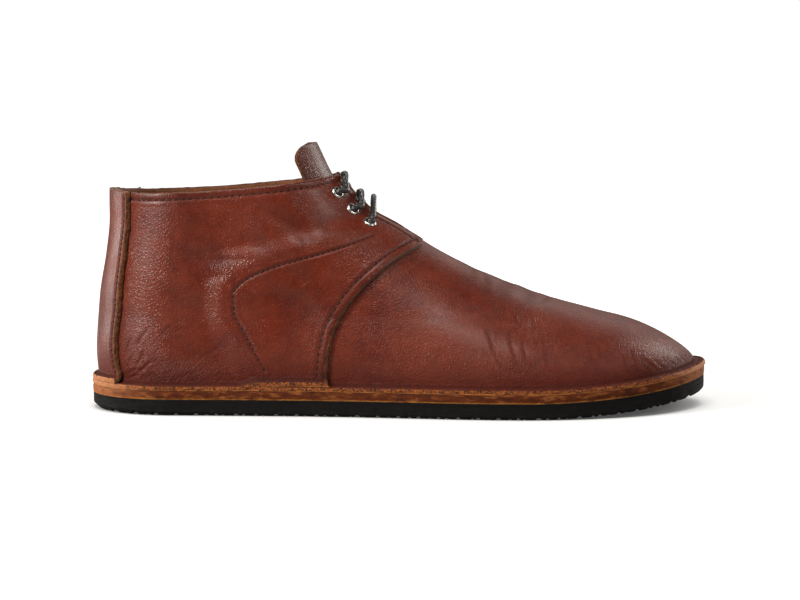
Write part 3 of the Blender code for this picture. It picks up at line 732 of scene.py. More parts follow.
def leather_sheet(name, surface, row, turn, thickness, materials, creases=(), seams=(), skive=0.0,
                  base_lift=None, underside=None, patches=()):
    """A sheet of leather with creases and seams pressed into it and cut edges that bulge a little.

    skive is how far the edges at the first and last columns slope out towards the flesh side.
    """
    row = np.broadcast_to(row, turn.shape)
    points = surface(row, turn)
    normals = surface_normal(surface, row, turn)
    lift = np.zeros(row.shape) if base_lift is None else base_lift(row, turn)
    filled = np.zeros(row.shape) if underside is None else np.clip(lift - underside(row, turn), 0.0, None)
    base = last_point(wall_row_under(row, lift), turn)
    crease_sink, crease_shade = press_lines(base.reshape(-1, 3), creases)
    grooves = [sewn(seam) for seam in seams]
    seam_sink, seam_shade = press_lines(points.reshape(-1, 3), grooves, tapered=False)
    on_wall = ease(row / CREASE_FOOT_ROWS + CREASE_FOOT_SHARE).reshape(-1)
    sink = (crease_sink * on_wall + seam_sink).reshape(row.shape)
    outer = points + normals * sink[..., None]
    inner = points + normals * (0.5 * np.minimum(sink, 0.0) - thickness - filled)[..., None]

    outward = np.zeros(points.shape)
    outward[0] += unit(points[0] - points[1])
    outward[-1] += unit(points[-1] - points[-2])
    outward[:, 0] += unit(points[:, 0] - points[:, 1])
    outward[:, -1] += unit(points[:, -1] - points[:, -2])
    sloped = np.zeros(row.shape)
    sloped[:, 0] = sloped[:, -1] = skive
    inner = inner + outward * sloped[..., None]
    inner_edge = boundary(inner)
    outer_edge = boundary(outer)
    way_out = unit(boundary(outward))
    rough = np.ones(row.shape)
    rough[-1] = TOP_EDGE_ROUGHNESS
    rough = boundary(rough)
    loops = []
    lumps = rough * ragged(len(way_out), EDGE_LUMPS, 4)
    for share in RIM_SHARES:
        fuzz = rough * ragged(len(way_out), EDGE_FUZZ, 1)
        bulge = (EDGE_BULGE + lumps) * np.sqrt(np.sin(np.pi * share)) + fuzz
        loops.append(outer_edge * (1 - share) + inner_edge * share + way_out * bulge[:, None])
    # Painted shade in crease and seam troughs and at the foot of the wall, passed to the shader as the crease
    # attribute
    foot_reach = np.where(row > FOOT_SHADE_ROW, FOOT_SHADE_ABOVE, FOOT_SHADE_BELOW)
    foot = FOOT_SHADE * np.exp(-(((row - FOOT_SHADE_ROW) / foot_reach) ** 2)).reshape(-1)
    shade = np.maximum.reduce([crease_shade * on_wall, seam_shade, foot])
    # Darkening towards the cut edges, burnish with painted shade, kept off the flange
    above_flange = ease((row - EDGE_SHADE_AND_BURNISH_FROM_ROW) / FLANGE_FADE)
    edge_shade_and_burnish = (np.exp(-edge_distance(points) / EDGE_SHADE_AND_BURNISH_REACH) * above_flange).reshape(-1)
    inner_coarse = inner[::2, ::2]
    rim = [np.zeros(row.size), np.repeat(RIM_SHARES, len(way_out)), np.ones(inner_coarse[..., 0].size)]
    # Painted highlight along with wear: how much paler the edges are at the heel and toe
    ends = ends_highlight_and_wear(np.concatenate([outer.reshape(-1, 3), *loops, inner_coarse.reshape(-1, 3)])[:, 0])
    return shell_piece(name, outer, loops, inner_coarse, materials, {
        "crease": shade, "edge": edge_shade_and_burnish, "rim": np.concatenate(rim), "ends": ends,
        "flange": 1 - ease((row + FLANGE_FADE) / FLANGE_FADE).reshape(-1),
        "wrinkled": wrinkled_share(base.reshape(-1, 3), patches)})


def run_along(points):
    """The length along a line of points, up to each of them."""
    return np.concatenate([[0], np.cumsum(np.linalg.norm(np.diff(points, axis=0), axis=1))])


def resample(at, run, values):
    """Vectors along a line, at other lengths along it."""
    return np.stack([np.interp(at, run, column) for column in values.T], axis=-1)


Seam = namedtuple("Seam", "surface row turn pitch sink")


def sewn(seam):
    """The groove that a seam presses into its sheet: points, depth and width."""
    points = seam.surface(seam.row, seam.turn)
    run = run_along(points)
    even = np.linspace(0, run[-1], max(8, int(run[-1] / (0.5 * SEAM_WIDTH))))
    return resample(even, run, points), SEAM_DEPTH, SEAM_WIDTH


def quarter_seams():
    """Front edge, line over the vamp's rear edge and collar, on both sides."""
    seams = []
    row = np.linspace(*FRONT_SEAM_ROWS, 260)
    wall = np.linspace(*REAR_SEAM_ROWS, 260)
    top = np.ones(160)
    start = float(panel_turn(np.ones(1))[0])
    end = float(front_turn(np.ones(1))[0])
    for way in (-1, 1):
        front_row, front = inset_path(quarter_surface, row, way * front_turn(row), FRONT_SEAM_INSET)
        seams.append(Seam(quarter_surface, front_row, front, STITCH_PITCH, SEAM_DEPTH))
        rear = way * turn_at_x(wall, vamp_rear_x(wall))
        rear_row, rear = inset_path(quarter_surface, wall, rear, -REAR_SEAM_INSET)
        place = last_point(rear_row, rear)
        clear = np.abs(place[:, 1] - centre_line(place[:, 0])) > REAR_SEAM_CLEARANCE
        seams.append(Seam(quarter_surface, rear_row[clear], rear[clear], FINE_STITCH_PITCH, SEAM_DEPTH))
        collar_turn = way * np.linspace(start, end - COLLAR_SEAM_STOP, 160)
        step = 0.01
        below = quarter_surface(top - step, collar_turn)
        rise = np.linalg.norm(quarter_surface(top, collar_turn) - below, axis=1)
        collar_row = top - COLLAR_SEAM_INSET / rise * step
        seams.append(Seam(quarter_surface, collar_row, collar_turn, STITCH_PITCH, SEAM_DEPTH))
    return seams


def panel_seams():
    row = np.linspace(*PANEL_SEAM_ROWS, 200)
    seams = []
    for way in (-1, 1):
        side_row, side = inset_path(panel_surface, row, way * panel_turn(row), PANEL_SEAM_INSET)
        seams.append(Seam(panel_surface, side_row, side, FINE_STITCH_PITCH, SEAM_DEPTH))
    return seams


def vamp_seams():
    row = np.full(60, VAMP_TOP - THROAT_SEAM_ROWS_DOWN)
    edge = float(turn_at_width(row[:1], THROAT_SEAM_HALF_WIDTH, near_ridge=True)[0])
    turn = np.linspace(-2 + edge, -edge, 60)
    return [Seam(vamp_surface, row, turn, STITCH_PITCH, SEAM_DEPTH)]


def flange_seams():
    """The stitching that holds the flange down, on whichever sheet lies uppermost, short of its edges."""
    panel_end = float(panel_turn(np.zeros(1))[0])
    quarter_end = float(front_turn(np.zeros(1))[0])
    spans = [
        (panel_surface, -panel_end + 0.01, panel_end - 0.01),
        (quarter_surface, panel_end + 0.012, quarter_end - 0.006),
        (quarter_surface, -quarter_end + 0.006, -panel_end - 0.012),
        (vamp_surface, quarter_end + 0.008 - 2, -quarter_end - 0.008),
    ]
    seams = []
    for surface, start, end in spans:
        turn = np.linspace(start, end, FLANGE_SEAM_POINTS)
        row = np.full(FLANGE_SEAM_POINTS, FLANGE_SEAM_ROW)
        seams.append(Seam(surface, row, turn, SOLE_STITCH_PITCH, 0.5 * SEAM_DEPTH))
    return seams


FLANGE_ROWS = np.linspace(-1, 0, 13)[:-1]


def sheet_rows(foot_count, wall_count, top):
    """Rows over the flange, close rows at the foot of the wall and even rows above. The count is odd."""
    foot = np.linspace(0, FOOT_ROWS, foot_count)[:-1]
    wall = np.linspace(FOOT_ROWS, top, wall_count)
    rows = np.concatenate([FLANGE_ROWS, foot, wall])
    return rows if len(rows) % 2 else np.concatenate([rows[:-1], [(rows[-2] + top) / 2, top]])


def make_vamp(leathers):
    rows = sheet_rows(24, 118, VAMP_TOP)
    wall = np.clip(rows, 0, 1)
    rear = turn_at_x(wall, vamp_rear_x(wall))
    share = np.linspace(0, 1, 401)
    turn = (-2 + rear)[:, None] * (1 - share) - rear[:, None] * share
    creases = [side_crease(crease, side) for crease in BALL_CREASES for side in (-1, 1)]
    creases += [top_crease(fold) for fold in VAMP_FOLDS]
    creases += list(toe_pleats())
    vamp = leather_sheet(
        "vamp", vamp_surface, rows[:, None], turn, LEATHER, leathers, creases, vamp_seams(),
        patches=VAMP_PATCHES)
    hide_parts("upper")


def quarter_creases():
    return [side_crease(crease, side) for crease in (*HEEL_WRINKLES, *ANKLE_FOLDS) for side in (-1, 1)]


def make_quarters(leathers):
    rows = sheet_rows(20, 122, 1.0)
    share = np.linspace(-1, 1, 361)
    turn = front_turn(rows)[:, None] * share
    quarters = leather_sheet(
        "quarters", quarter_surface, rows[:, None], turn, LEATHER, leathers, quarter_creases(),
        quarter_seams(), FRONT_SKIVE, quarter_lift, quarter_underside, HEEL_PATCHES)
    punch_eyelet_holes(quarters)
    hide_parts("upper")


def make_heel_panel(leathers):
    rows = sheet_rows(18, 110, 1.0)
    turn = panel_turn(rows)[:, None] * np.linspace(-1, 1, 111)
    panel = leather_sheet(
        "heel_panel_leather", panel_surface, rows[:, None], turn, LEATHER, leathers, (), panel_seams(),
        PANEL_SKIVE)
    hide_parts("heel_panel")


def make_tongue(leathers):
    """A tab with a rounded top, whose rows are raised to undo the dip of the collar."""
    rows = np.linspace(THROAT_ROW - TONGUE_TUCK, TONGUE_TOP, 121)
    corner = np.clip(1 - (TONGUE_TOP - rows) / TONGUE_CORNER, 0.0, 1.0)
    width = TONGUE_HALF_WIDTH * (TONGUE_TOP_SHARE + (1 - TONGUE_TOP_SHARE) * np.sqrt(1 - corner**2))
    edge = turn_at_width(rows, width, near_ridge=True)
    share = np.linspace(0, 1, 91)
    turn = (-2 + edge)[:, None] * (1 - share) - edge[:, None] * share
    level = ease((rows - TONGUE_LEVEL_FROM) / (1 - TONGUE_LEVEL_FROM))
    dip = collar_dip(rows[:, None], turn) * level[:, None]
    row = rows[:, None] + dip / TONGUE_RISE_PER_ROW
    tongue = leather_sheet("tongue_leather", tongue_surface, row, turn, TONGUE_THICKNESS, leathers)
    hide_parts("tongue")


def eyelet_places():
    """The middle and the normal of each eyelet, by its number from the throat and its side."""
    rows = np.linspace(THROAT_ROW + EYELET_ROW_OVER_THROAT, TOP_EYELET_ROW, EYELET_PAIRS)
    turns = turn_at_width(rows, FACING_HALF_GAP + EYELET_FROM_EDGE, near_ridge=True)
    places = {}
    for way in (-1, 1):
        middles = quarter_surface(rows, way * turns)
        normals = surface_normal(quarter_surface, rows, way * turns)
        for number in range(EYELET_PAIRS):
            places[number, way] = middles[number], normals[number]
    return places


def turned_points(profile, steps, middle, normal):
    """A profile of radius and height, turned round an axis."""
    side = unit(np.cross(normal, [1.0, 0.0, 0.0]))
    other = np.cross(normal, side)
    angle = np.linspace(0, 2 * np.pi, steps, endpoint=False)
    round_way = np.cos(angle)[:, None] * side + np.sin(angle)[:, None] * other
    radius, height = np.array(profile).T * MM
    return middle + round_way[:, None, :] * radius[None, :, None] + normal * height[None, :, None]


def turned_faces(steps, count, start):
    """Faces of a closed profile turned all the way round."""
    numbers = start + np.arange(steps * count).reshape(steps, count)
    after = np.roll(numbers, -1, axis=0)
    corners = (numbers, after, np.roll(after, -1, axis=1), np.roll(numbers, -1, axis=1))
    return np.stack(corners, axis=-1).reshape(-1, 4).tolist()


# Radius and height of the eyelet's section, from the foot of its barrel round the rim and back
EYELET_PROFILE = (
    (1.55, -2.6), (1.95, -2.7), (2.05, -2.4), (2.10, 0.02), (3.05, -0.02), (3.12, 0.18), (2.98, 0.48),
    (2.62, 0.74), (2.22, 0.82), (1.86, 0.70), (1.64, 0.40), (1.56, 0.0),
)
EYELET_STEPS = 40
HOLE_PIN_PROFILE = ((2.2, -5.0), (2.2, 4.0))
HOLE_STEPS = 24


def make_eyelets(nickel):
    points = []
    faces = []
    count = len(EYELET_PROFILE)
    for middle, normal in eyelet_places().values():
        faces += turned_faces(EYELET_STEPS, count, count * EYELET_STEPS * len(points))
        points.append(turned_points(EYELET_PROFILE, EYELET_STEPS, middle, normal).reshape(-1, 3))
    eyelets = add_piece("eyelets", np.concatenate(points), faces, [nickel])
    names = [f"eyelet_{side}_{number + 1}" for side in ("outer", "inner") for number in range(EYELET_PAIRS)]
    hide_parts(*names)


def punch_eyelet_holes(quarters):
    """Cuts the holes that the eyelets' barrels go through."""
    points = []
    faces = []
    for middle, normal in eyelet_places().values():
        numbers = HOLE_STEPS * 2 * len(points) + np.arange(HOLE_STEPS * 2).reshape(HOLE_STEPS, 2)
        after = np.roll(numbers, -1, axis=0)
        faces += np.stack([numbers[:, 0], numbers[:, 1], after[:, 1], after[:, 0]], axis=-1).tolist()
        faces += [numbers[:, 0].tolist(), numbers[::-1, 1].tolist()]
        points.append(turned_points(HOLE_PIN_PROFILE, HOLE_STEPS, middle, normal).reshape(-1, 3))
    mesh = bpy.data.meshes.new("hole_pins")
    mesh.from_pydata((np.concatenate(points) + BOOT_OFFSET).tolist(), [], faces)
    pins = bpy.data.objects.new("hole_pins", mesh)
    bpy.context.scene.collection.objects.link(pins)
    cut = quarters.modifiers.new("eyelet_holes", "BOOLEAN")
    cut.operation = "DIFFERENCE"
    cut.object = pins
    graph = bpy.context.evaluated_depsgraph_get()
    punched = bpy.data.meshes.new_from_object(quarters.evaluated_get(graph))
    quarters.modifiers.clear()
    quarters.data = punched
    bpy.data.objects.remove(pins)


def smooth_path(points, per_span=9):
    """A rounded path through given points."""
    points = np.asarray(points)
    padded = np.concatenate([[2 * points[0] - points[1]], points, [2 * points[-1] - points[-2]]])
    path = []
    for before, start, end, after in zip(padded, padded[1:], padded[2:], padded[3:]):
        u = np.linspace(0, 1, per_span, endpoint=False)[:, None]
        slope_start = (end - before) / 2
        slope_end = (after - start) / 2
        path.append(
            start * (1 + 2 * u) * (1 - u) ** 2 + slope_start * u * (1 - u) ** 2
            + end * (3 - 2 * u) * u**2 + slope_end * u**2 * (u - 1))
    path.append(points[-1:])
    return np.concatenate(path)


def tube_faces(numbers):
    """Faces between rings of vertex numbers, and one over each end."""
    lower, upper = numbers[:-1], numbers[1:]
    corners = (lower, np.roll(lower, -1, 1), np.roll(upper, -1, 1), upper)
    sides = np.stack(corners, axis=-1).reshape(-1, 4).tolist()
    return [*sides, numbers[0, ::-1].tolist(), numbers[-1].tolist()]


def tube(path, radius, sides):
    """A round tube along a path with narrower ends: points, faces, lengths along it and turns around it."""
    tangents = unit(np.gradient(path, axis=0))
    across = np.empty_like(path)
    across[0] = unit(np.cross(tangents[0], [0.0, 0.0, 1.0]))
    for i in range(1, len(path)):
        across[i] = unit(across[i - 1] - tangents[i] * (across[i - 1] @ tangents[i]))
    up = np.cross(tangents, across)
    angle = np.linspace(0, 2 * np.pi, sides, endpoint=False)
    cosine, sine = np.cos(angle)[None, :, None], np.sin(angle)[None, :, None]
    round_way = cosine * across[:, None, :] + sine * up[:, None, :]
    radii = np.full(len(path), radius)
    radii[[0, -1]] *= LACE_END_SHARE
    points = path[:, None, :] + round_way * radii[:, None, None]
    faces = tube_faces(np.arange(len(path) * sides).reshape(-1, sides))
    return points.reshape(-1, 3), faces, np.repeat(run_along(path), sides), np.tile(angle, len(path))


LACE_SIDES = 14
LACE_END_SHARE = 0.55
LACE_OVER_RIM = 0.0022
LACE_UNDER_FACING = -LEATHER - 0.0017
LACE_LOW_CROSSING = -0.0031
LACE_HIGH_CROSSING = -0.0003
LACE_ON_FACING = 0.0017
# Down through an eyelet: height over its middle, and distance towards the side the lace comes from
LACE_DOWN = ((LACE_OVER_RIM, 0.0042), (LACE_OVER_RIM - 0.0002, 0.0018), (0.0006, 0.0001), (-0.0018, 0.0))
# From one eyelet to the next: share of the way along the boot, and distance from the middle
LACE_ACROSS = ((0.12, 0.0150), (0.22, 0.0105), (0.36, 0.0052), (0.50, 0.0), (0.66, -0.0060), (0.80, -0.0104))
LACE_END_DEPTH = 0.0034


def lace_half(way):
    """Half of the lace, from the middle of the bar to its hidden end at a top eyelet."""
    places = eyelet_places()

    def at(x, width, stand):
        x = np.array(x)
        y = centre_line(x) + width
        return crown_point(x, y) + surface_normal(crown_point, x, y) * stand

    def through(number, side, from_side):
        """Down through an eyelet from outside, coming from the side of the tongue."""
        middle, normal = places[number, side]
        inward = unit(np.array([from_side[0], from_side[1], 0.0]))
        inward = unit(inward - normal * (inward @ normal))
        return [middle + normal * height + inward * aside for height, aside in LACE_DOWN]

    bar_x = places[0, way][0][0]
    points = [at(bar_x, 0.0, LACE_ON_FACING + 0.0006), at(bar_x, way * 0.007, LACE_ON_FACING + 0.0007)]
    points += through(0, way, (0.0, -way))
    side = way
    for number in range(EYELET_PAIRS - 1):
        low_x = places[number, side][0][0]
        step = places[number + 1, -side][0][0] - low_x
        over = (number % 2 == 0) == (way > 0)
        crossing = LACE_HIGH_CROSSING if over else LACE_LOW_CROSSING
        rising = (LACE_UNDER_FACING + crossing) / 2
        falling = 0.5 * crossing + 0.3 * LACE_ON_FACING
        stands = (LACE_UNDER_FACING - 0.0006, LACE_UNDER_FACING, rising, crossing, falling,
                  LACE_ON_FACING + 0.0002)
        for (share, aside), stand in zip(LACE_ACROSS, stands):
            points.append(at(low_x + share * step, side * aside, stand))
        points += through(number + 1, -side, (-0.35 * np.sign(step) * 0.002, side * 0.001))
        side = -side
    end, end_normal = places[EYELET_PAIRS - 1, side]
    points.append(end - end_normal * LACE_END_DEPTH + np.array([0.0, -0.0006 * side, 0.0]))
    return points


def make_lace(cord):
    route = lace_half(-1)[::-1] + lace_half(1)[1:]
    path = smooth_path(route)
    points, faces, run, angle = tube(path, LACE_RADIUS, LACE_SIDES)
    lace = add_piece("lace", points, faces, [cord], None, {"along": run})
    around = lace.data.attributes.new("around", "FLOAT", "CORNER")
    corner_vertex = np.empty(len(lace.data.loops), np.int32)
    lace.data.loops.foreach_get("vertex_index", corner_vertex)
    turns = np.empty(len(corner_vertex), np.float32)
    for face in lace.data.polygons:
        span = list(face.loop_indices)
        values = angle[corner_vertex[span]]
        if values.max() - values.min() > np.pi:
            values = np.where(values < np.pi, values + 2 * np.pi, values)
        turns[span] = values
    around.data.foreach_set("value", turns)
    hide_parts("lace_bar", "lace_crossing_1", "lace_crossing_2")


STITCH_RINGS = np.array([-1.0, -0.86, -0.5, 0.0, 0.5, 0.86, 1.0])
STITCH_SIDES = 6


def stitch_places(seam, creases):
    """Middles, normals and directions of a seam's stitches, sunk with the leather into its creases."""
    points = seam.surface(seam.row, seam.turn)
    normals = surface_normal(seam.surface, seam.row, seam.turn)
    run = run_along(points)
    count = int(run[-1] / seam.pitch)
    at = (np.arange(count) + 0.5) * run[-1] / count
    outward = unit(resample(at, run, normals))
    directions = unit(resample(at, run, np.gradient(points, run, axis=0)))
    base = last_point(wall_row_under(seam.row, quarter_lift(seam.row, seam.turn)), seam.turn)
    crease_sink, _ = press_lines(base, creases)
    lift = np.interp(at, run, crease_sink) - STITCH_SET * seam.sink
    return resample(at, run, points) + outward * lift[:, None], outward, directions


def make_stitches(name, seams, thread, node, radius=THREAD_RADIUS, creases=()):
    """All the stitches of some seams as one joined mesh."""
    points = []
    faces = []
    angle = np.linspace(0, 2 * np.pi, STITCH_SIDES, endpoint=False)
    girth = np.sqrt(np.clip(1 - STITCH_RINGS**6, 0.06, 1.0))
    numbers = np.arange(len(STITCH_RINGS) * STITCH_SIDES).reshape(-1, STITCH_SIDES)
    for seam in seams:
        middles, outward, directions = stitch_places(seam, creases)
        slant = unit(np.cross(outward, directions))
        half = STITCH_SHARE * seam.pitch
        for middle, normal, direction, side in zip(middles, outward, directions, slant):
            run = unit(direction + side * rng.normal(scale=STITCH_LEAN))
            dive = normal * (1.3 * radius * STITCH_RINGS**4)[:, None]
            spine = middle + STITCH_RINGS[:, None] * half * run - dive
            ring = np.cos(angle)[:, None] * side + np.sin(angle)[:, None] * normal
            body = spine[:, None, :] + ring[None] * (radius * girth)[:, None, None]
            faces += tube_faces(numbers + numbers.size * len(points))
            points.append(body.reshape(-1, 3))
    along = np.tile(np.repeat(STITCH_RINGS, STITCH_SIDES), len(points))
    stitches = add_piece(name, np.concatenate(points), faces, [thread], None, {"along": along})
    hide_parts(node)


# Sole layers
END_STEPS = 22
MIDDLE_STEPS = 460
FIRST_TURN = 0.008
END_TURN = 0.128
OUTWARD_STEP = 0.001
EDGE_INSET = 0.0001
SANDED_EDGE = 0.00006
LAYER_CLEARANCE = 0.00005
TREAD_CLEARANCE = 0.0002
TREAD_CLEARANCE_RISE = 0.0004
OUTSOLE_RIM_SHARES = (0.0, 0.06, 0.35, 0.65, 0.94)
MIDSOLE_RIM_SHARES = (0.03, 0.14, 0.32, 0.5, 0.68, 0.86, 0.97)
INSOLE_RIM_SHARES = (0.2, 0.5, 0.8)
MIDSOLE_SWELL = 0.00022
INSOLE_INSET = 0.0008
INSOLE_DISH = 0.0010
INSOLE_LIFT = 0.0001
GROOVE_FLOOR_SHARE = 0.7
GROOVE_SLOPE_SHARE = 0.6
EDGE_GROOVE_SHARE = 0.42
EDGE_GROOVE_REACH = 0.006
NICK_HALF_WIDTH = 0.0004
NICK_SLOPE = 0.0005
NICK_REACH = 0.004
NICK_FADE = 0.002
STRAIGHT_SIDE = 0.005
STRAIGHT_END = 0.020


def plate_turns():
    """Turns from heel to toe: close together round the ends and evenly spaced in x between them."""
    ends = np.linspace(FIRST_TURN, END_TURN, END_STEPS, endpoint=False)
    first = (1 - np.cos(np.pi * END_TURN)) / 2
    along = np.linspace(first, 1 - first, MIDDLE_STEPS + 1)
    return np.concatenate([ends, np.arccos(1 - 2 * along) / np.pi, 1 - ends[::-1]])


def plate_grid(reach, across):
    """Plan points of a sole layer, from heel to toe by outer side to inner side."""
    turns = plate_turns()
    outer = sole_outline(-turns, reach)
    inner = sole_outline(turns, reach)
    return outer[:, None, :] * (1 - across)[:, None] + inner[:, None, :] * across[:, None]


def at_height(plan, height):
    """Plan points raised to a height that curls up with the toe."""
    z = np.broadcast_to(height, plan.shape[:-1]) + toe_spring(plan[..., 0])
    return np.concatenate([plan, z[..., None]], axis=-1)


GROOVE_COUNT = int(LAST_LENGTH / GROOVE_PITCH) + 2
GROOVE_WIDTHS = rng.uniform(0.65, 1.05, GROOVE_COUNT)
NICK_DEPTHS = rng.uniform(0.0, 0.0008, GROOVE_COUNT)
NICK_SHIFTS = rng.uniform(-0.22, 0.22, GROOVE_COUNT)


def groove_wave(y):
    """How far fore and aft of its own place a zigzag groove runs."""
    widest = max(station.outer for station in STATIONS) * MM + GROOVE_OVERHANG
    bends = (y + widest) / (2 * widest) * GROOVE_BENDS
    return GROOVE_WAVE * (np.abs((bends + 1) % 2 - 1) - 0.5)


def tread_height(x, y, from_edge):
    """How far the tread is cut away: zigzag grooves across the sole, and short notches at its edge."""
    place = (x - groove_wave(y)) / GROOVE_PITCH
    from_groove = np.abs(place - np.round(place)) * GROOVE_PITCH
    number = np.clip(np.round(place), 0, GROOVE_COUNT - 1).astype(int)
    half = GROOVE_WIDTH / 2 * GROOVE_WIDTHS[number]
    slope = (from_groove - GROOVE_FLOOR_SHARE * half) / (GROOVE_SLOPE_SHARE * half)
    groove = TREAD_DEPTH * (1 - ease(slope))
    groove *= EDGE_GROOVE_SHARE + (1 - EDGE_GROOVE_SHARE) * ease(from_edge / EDGE_GROOVE_REACH)
    groove *= (x > 0.5 * GROOVE_PITCH) & (x < LAST_LENGTH - 0.1 * GROOVE_PITCH)
    between = np.clip(np.floor(place), 0, GROOVE_COUNT - 1).astype(int)
    from_nick = np.abs(place - np.floor(place) - 0.5 - NICK_SHIFTS[between]) * GROOVE_PITCH
    nick = NICK_DEPTHS[between] * (1 - ease((from_nick - NICK_HALF_WIDTH) / NICK_SLOPE))
    nick *= 1 - ease((from_edge - NICK_REACH) / NICK_FADE)
    return np.maximum(groove, nick)


def make_outsole(rubber):
    """The tread's rows follow the grooves, so that their walls are clean."""
    turns = plate_turns()
    across = np.linspace(0, 1, 101)
    bevel = SOLE_EDGE_BEVEL + (HEEL_CORNER_BEVEL - SOLE_EDGE_BEVEL) * (1 - ease(turns / HEEL_CORNER_TURN))
    plan = plate_grid(FLANGE_REACH - bevel, across)
    width = np.linalg.norm(plan[:, -1] - plan[:, 0], axis=-1)
    from_side = np.minimum(across, 1 - across)[None, :] * width[:, None]
    from_end = np.minimum(plan[..., 0] + FLANGE_REACH, LAST_LENGTH + FLANGE_REACH - plan[..., 0])
    inside = ease(from_side / STRAIGHT_SIDE) * ease(from_end / STRAIGHT_END)
    along_groove = plan[..., 0].mean(axis=1, keepdims=True) + groove_wave(plan[..., 1])
    plan[..., 0] += (along_groove - plan[..., 0]) * inside
    cut = tread_height(plan[..., 0], plan[..., 1], np.minimum(from_side, from_end))
    wide = plate_grid(FLANGE_REACH, across)
    out = unit(boundary(plate_grid(FLANGE_REACH + OUTWARD_STEP, across) - wide))
    edge_cut = boundary(cut)
    edge_bevel = boundary(np.broadcast_to(bevel[:, None], cut.shape))
    loops = []
    for share in OUTSOLE_RIM_SHARES:
        height = edge_bevel + (OUTSOLE_THICKNESS - edge_bevel) * share
        height = np.maximum(height, edge_cut + (TREAD_CLEARANCE + TREAD_CLEARANCE_RISE * share))
        sanded = ragged(len(out), SANDED_EDGE, 3) - EDGE_INSET
        loop = at_height(boundary(wide) + out * sanded[:, None], height)
        loops.append(boundary_turned(loop, cut.shape))
    bottom = at_height(plan, cut).transpose(1, 0, 2)
    top = at_height(wide, OUTSOLE_THICKNESS).transpose(1, 0, 2)
    outsole = shell_piece("outsole_rubber", bottom, loops, top[::2, ::2], [rubber] * 4)
    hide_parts("outsole")


def boundary_turned(loop, shape):
    """A ring of points in the order of the grid's boundary once its rows and columns are swapped."""
    numbers = np.arange(shape[0] * shape[1]).reshape(shape)
    lookup = np.empty(numbers.size, int)
    lookup[boundary(numbers)] = np.arange(len(loop))
    return loop[lookup[boundary(numbers.T)]]


def make_midsole(leather):
    across = np.linspace(0, 1, 9)
    plan = plate_grid(FLANGE_REACH - EDGE_INSET, across)
    out = unit(boundary(plate_grid(FLANGE_REACH + OUTWARD_STEP, across) - plan))
    low = OUTSOLE_THICKNESS + LAYER_CLEARANCE
    high = SOLE_SEAT - LAYER_CLEARANCE
    top = at_height(plan, high)
    bottom = at_height(plan, low)
    loops = []
    for share in MIDSOLE_RIM_SHARES:
        swell = MIDSOLE_SWELL * np.sin(np.pi * share) ** 0.6 + ragged(len(out), SANDED_EDGE, 2)
        loops.append(at_height(boundary(plan) + out * swell[:, None], high + (low - high) * share))
    rim_levels = np.repeat(1 - np.array(MIDSOLE_RIM_SHARES), len(out))
    attributes = {
        "level": np.concatenate([np.ones(plan[..., 0].size), rim_levels]),
        "ends": ends_highlight_and_wear(np.concatenate([top.reshape(-1, 3), *loops])[:, 0]),
    }
    midsole = shell_piece("midsole_leather", top, loops, bottom[::2, ::2], [leather] * 4, attributes)
    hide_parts("midsole")


def make_insole(leather):
    across = np.linspace(0, 1, 41)
    reach = -(LEATHER + 2 * GAP)
    plan = plate_grid(reach, across)
    inset = plate_grid(reach - INSOLE_INSET, across)
    dish = INSOLE_DISH * np.sin(np.pi * across) ** 0.7
    top = at_height(inset, SOLE_SEAT + INSOLE_THICKNESS - dish)
    bottom = at_height(plan, SOLE_SEAT + INSOLE_LIFT)
    loops = []
    for share in INSOLE_RIM_SHARES:
        plan_loop = boundary(inset) + (boundary(plan) - boundary(inset)) * np.sqrt(share)
        loops.append(at_height(plan_loop, SOLE_SEAT + INSOLE_THICKNESS * (1 - share)))
    insole = shell_piece("insole_leather", top, loops, bottom[::2, ::2], [leather] * 4)
    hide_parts("insole")


def srgb(red, green, blue):
    """A colour as seen on screen, in the linear values that shaders take."""
    channels = np.array([red, green, blue]) / 255
    linear = np.where(channels < 0.04045, channels / 12.92, ((channels + 0.055) / 1.055) ** 2.4)
    return (*linear.tolist(), 1.0)


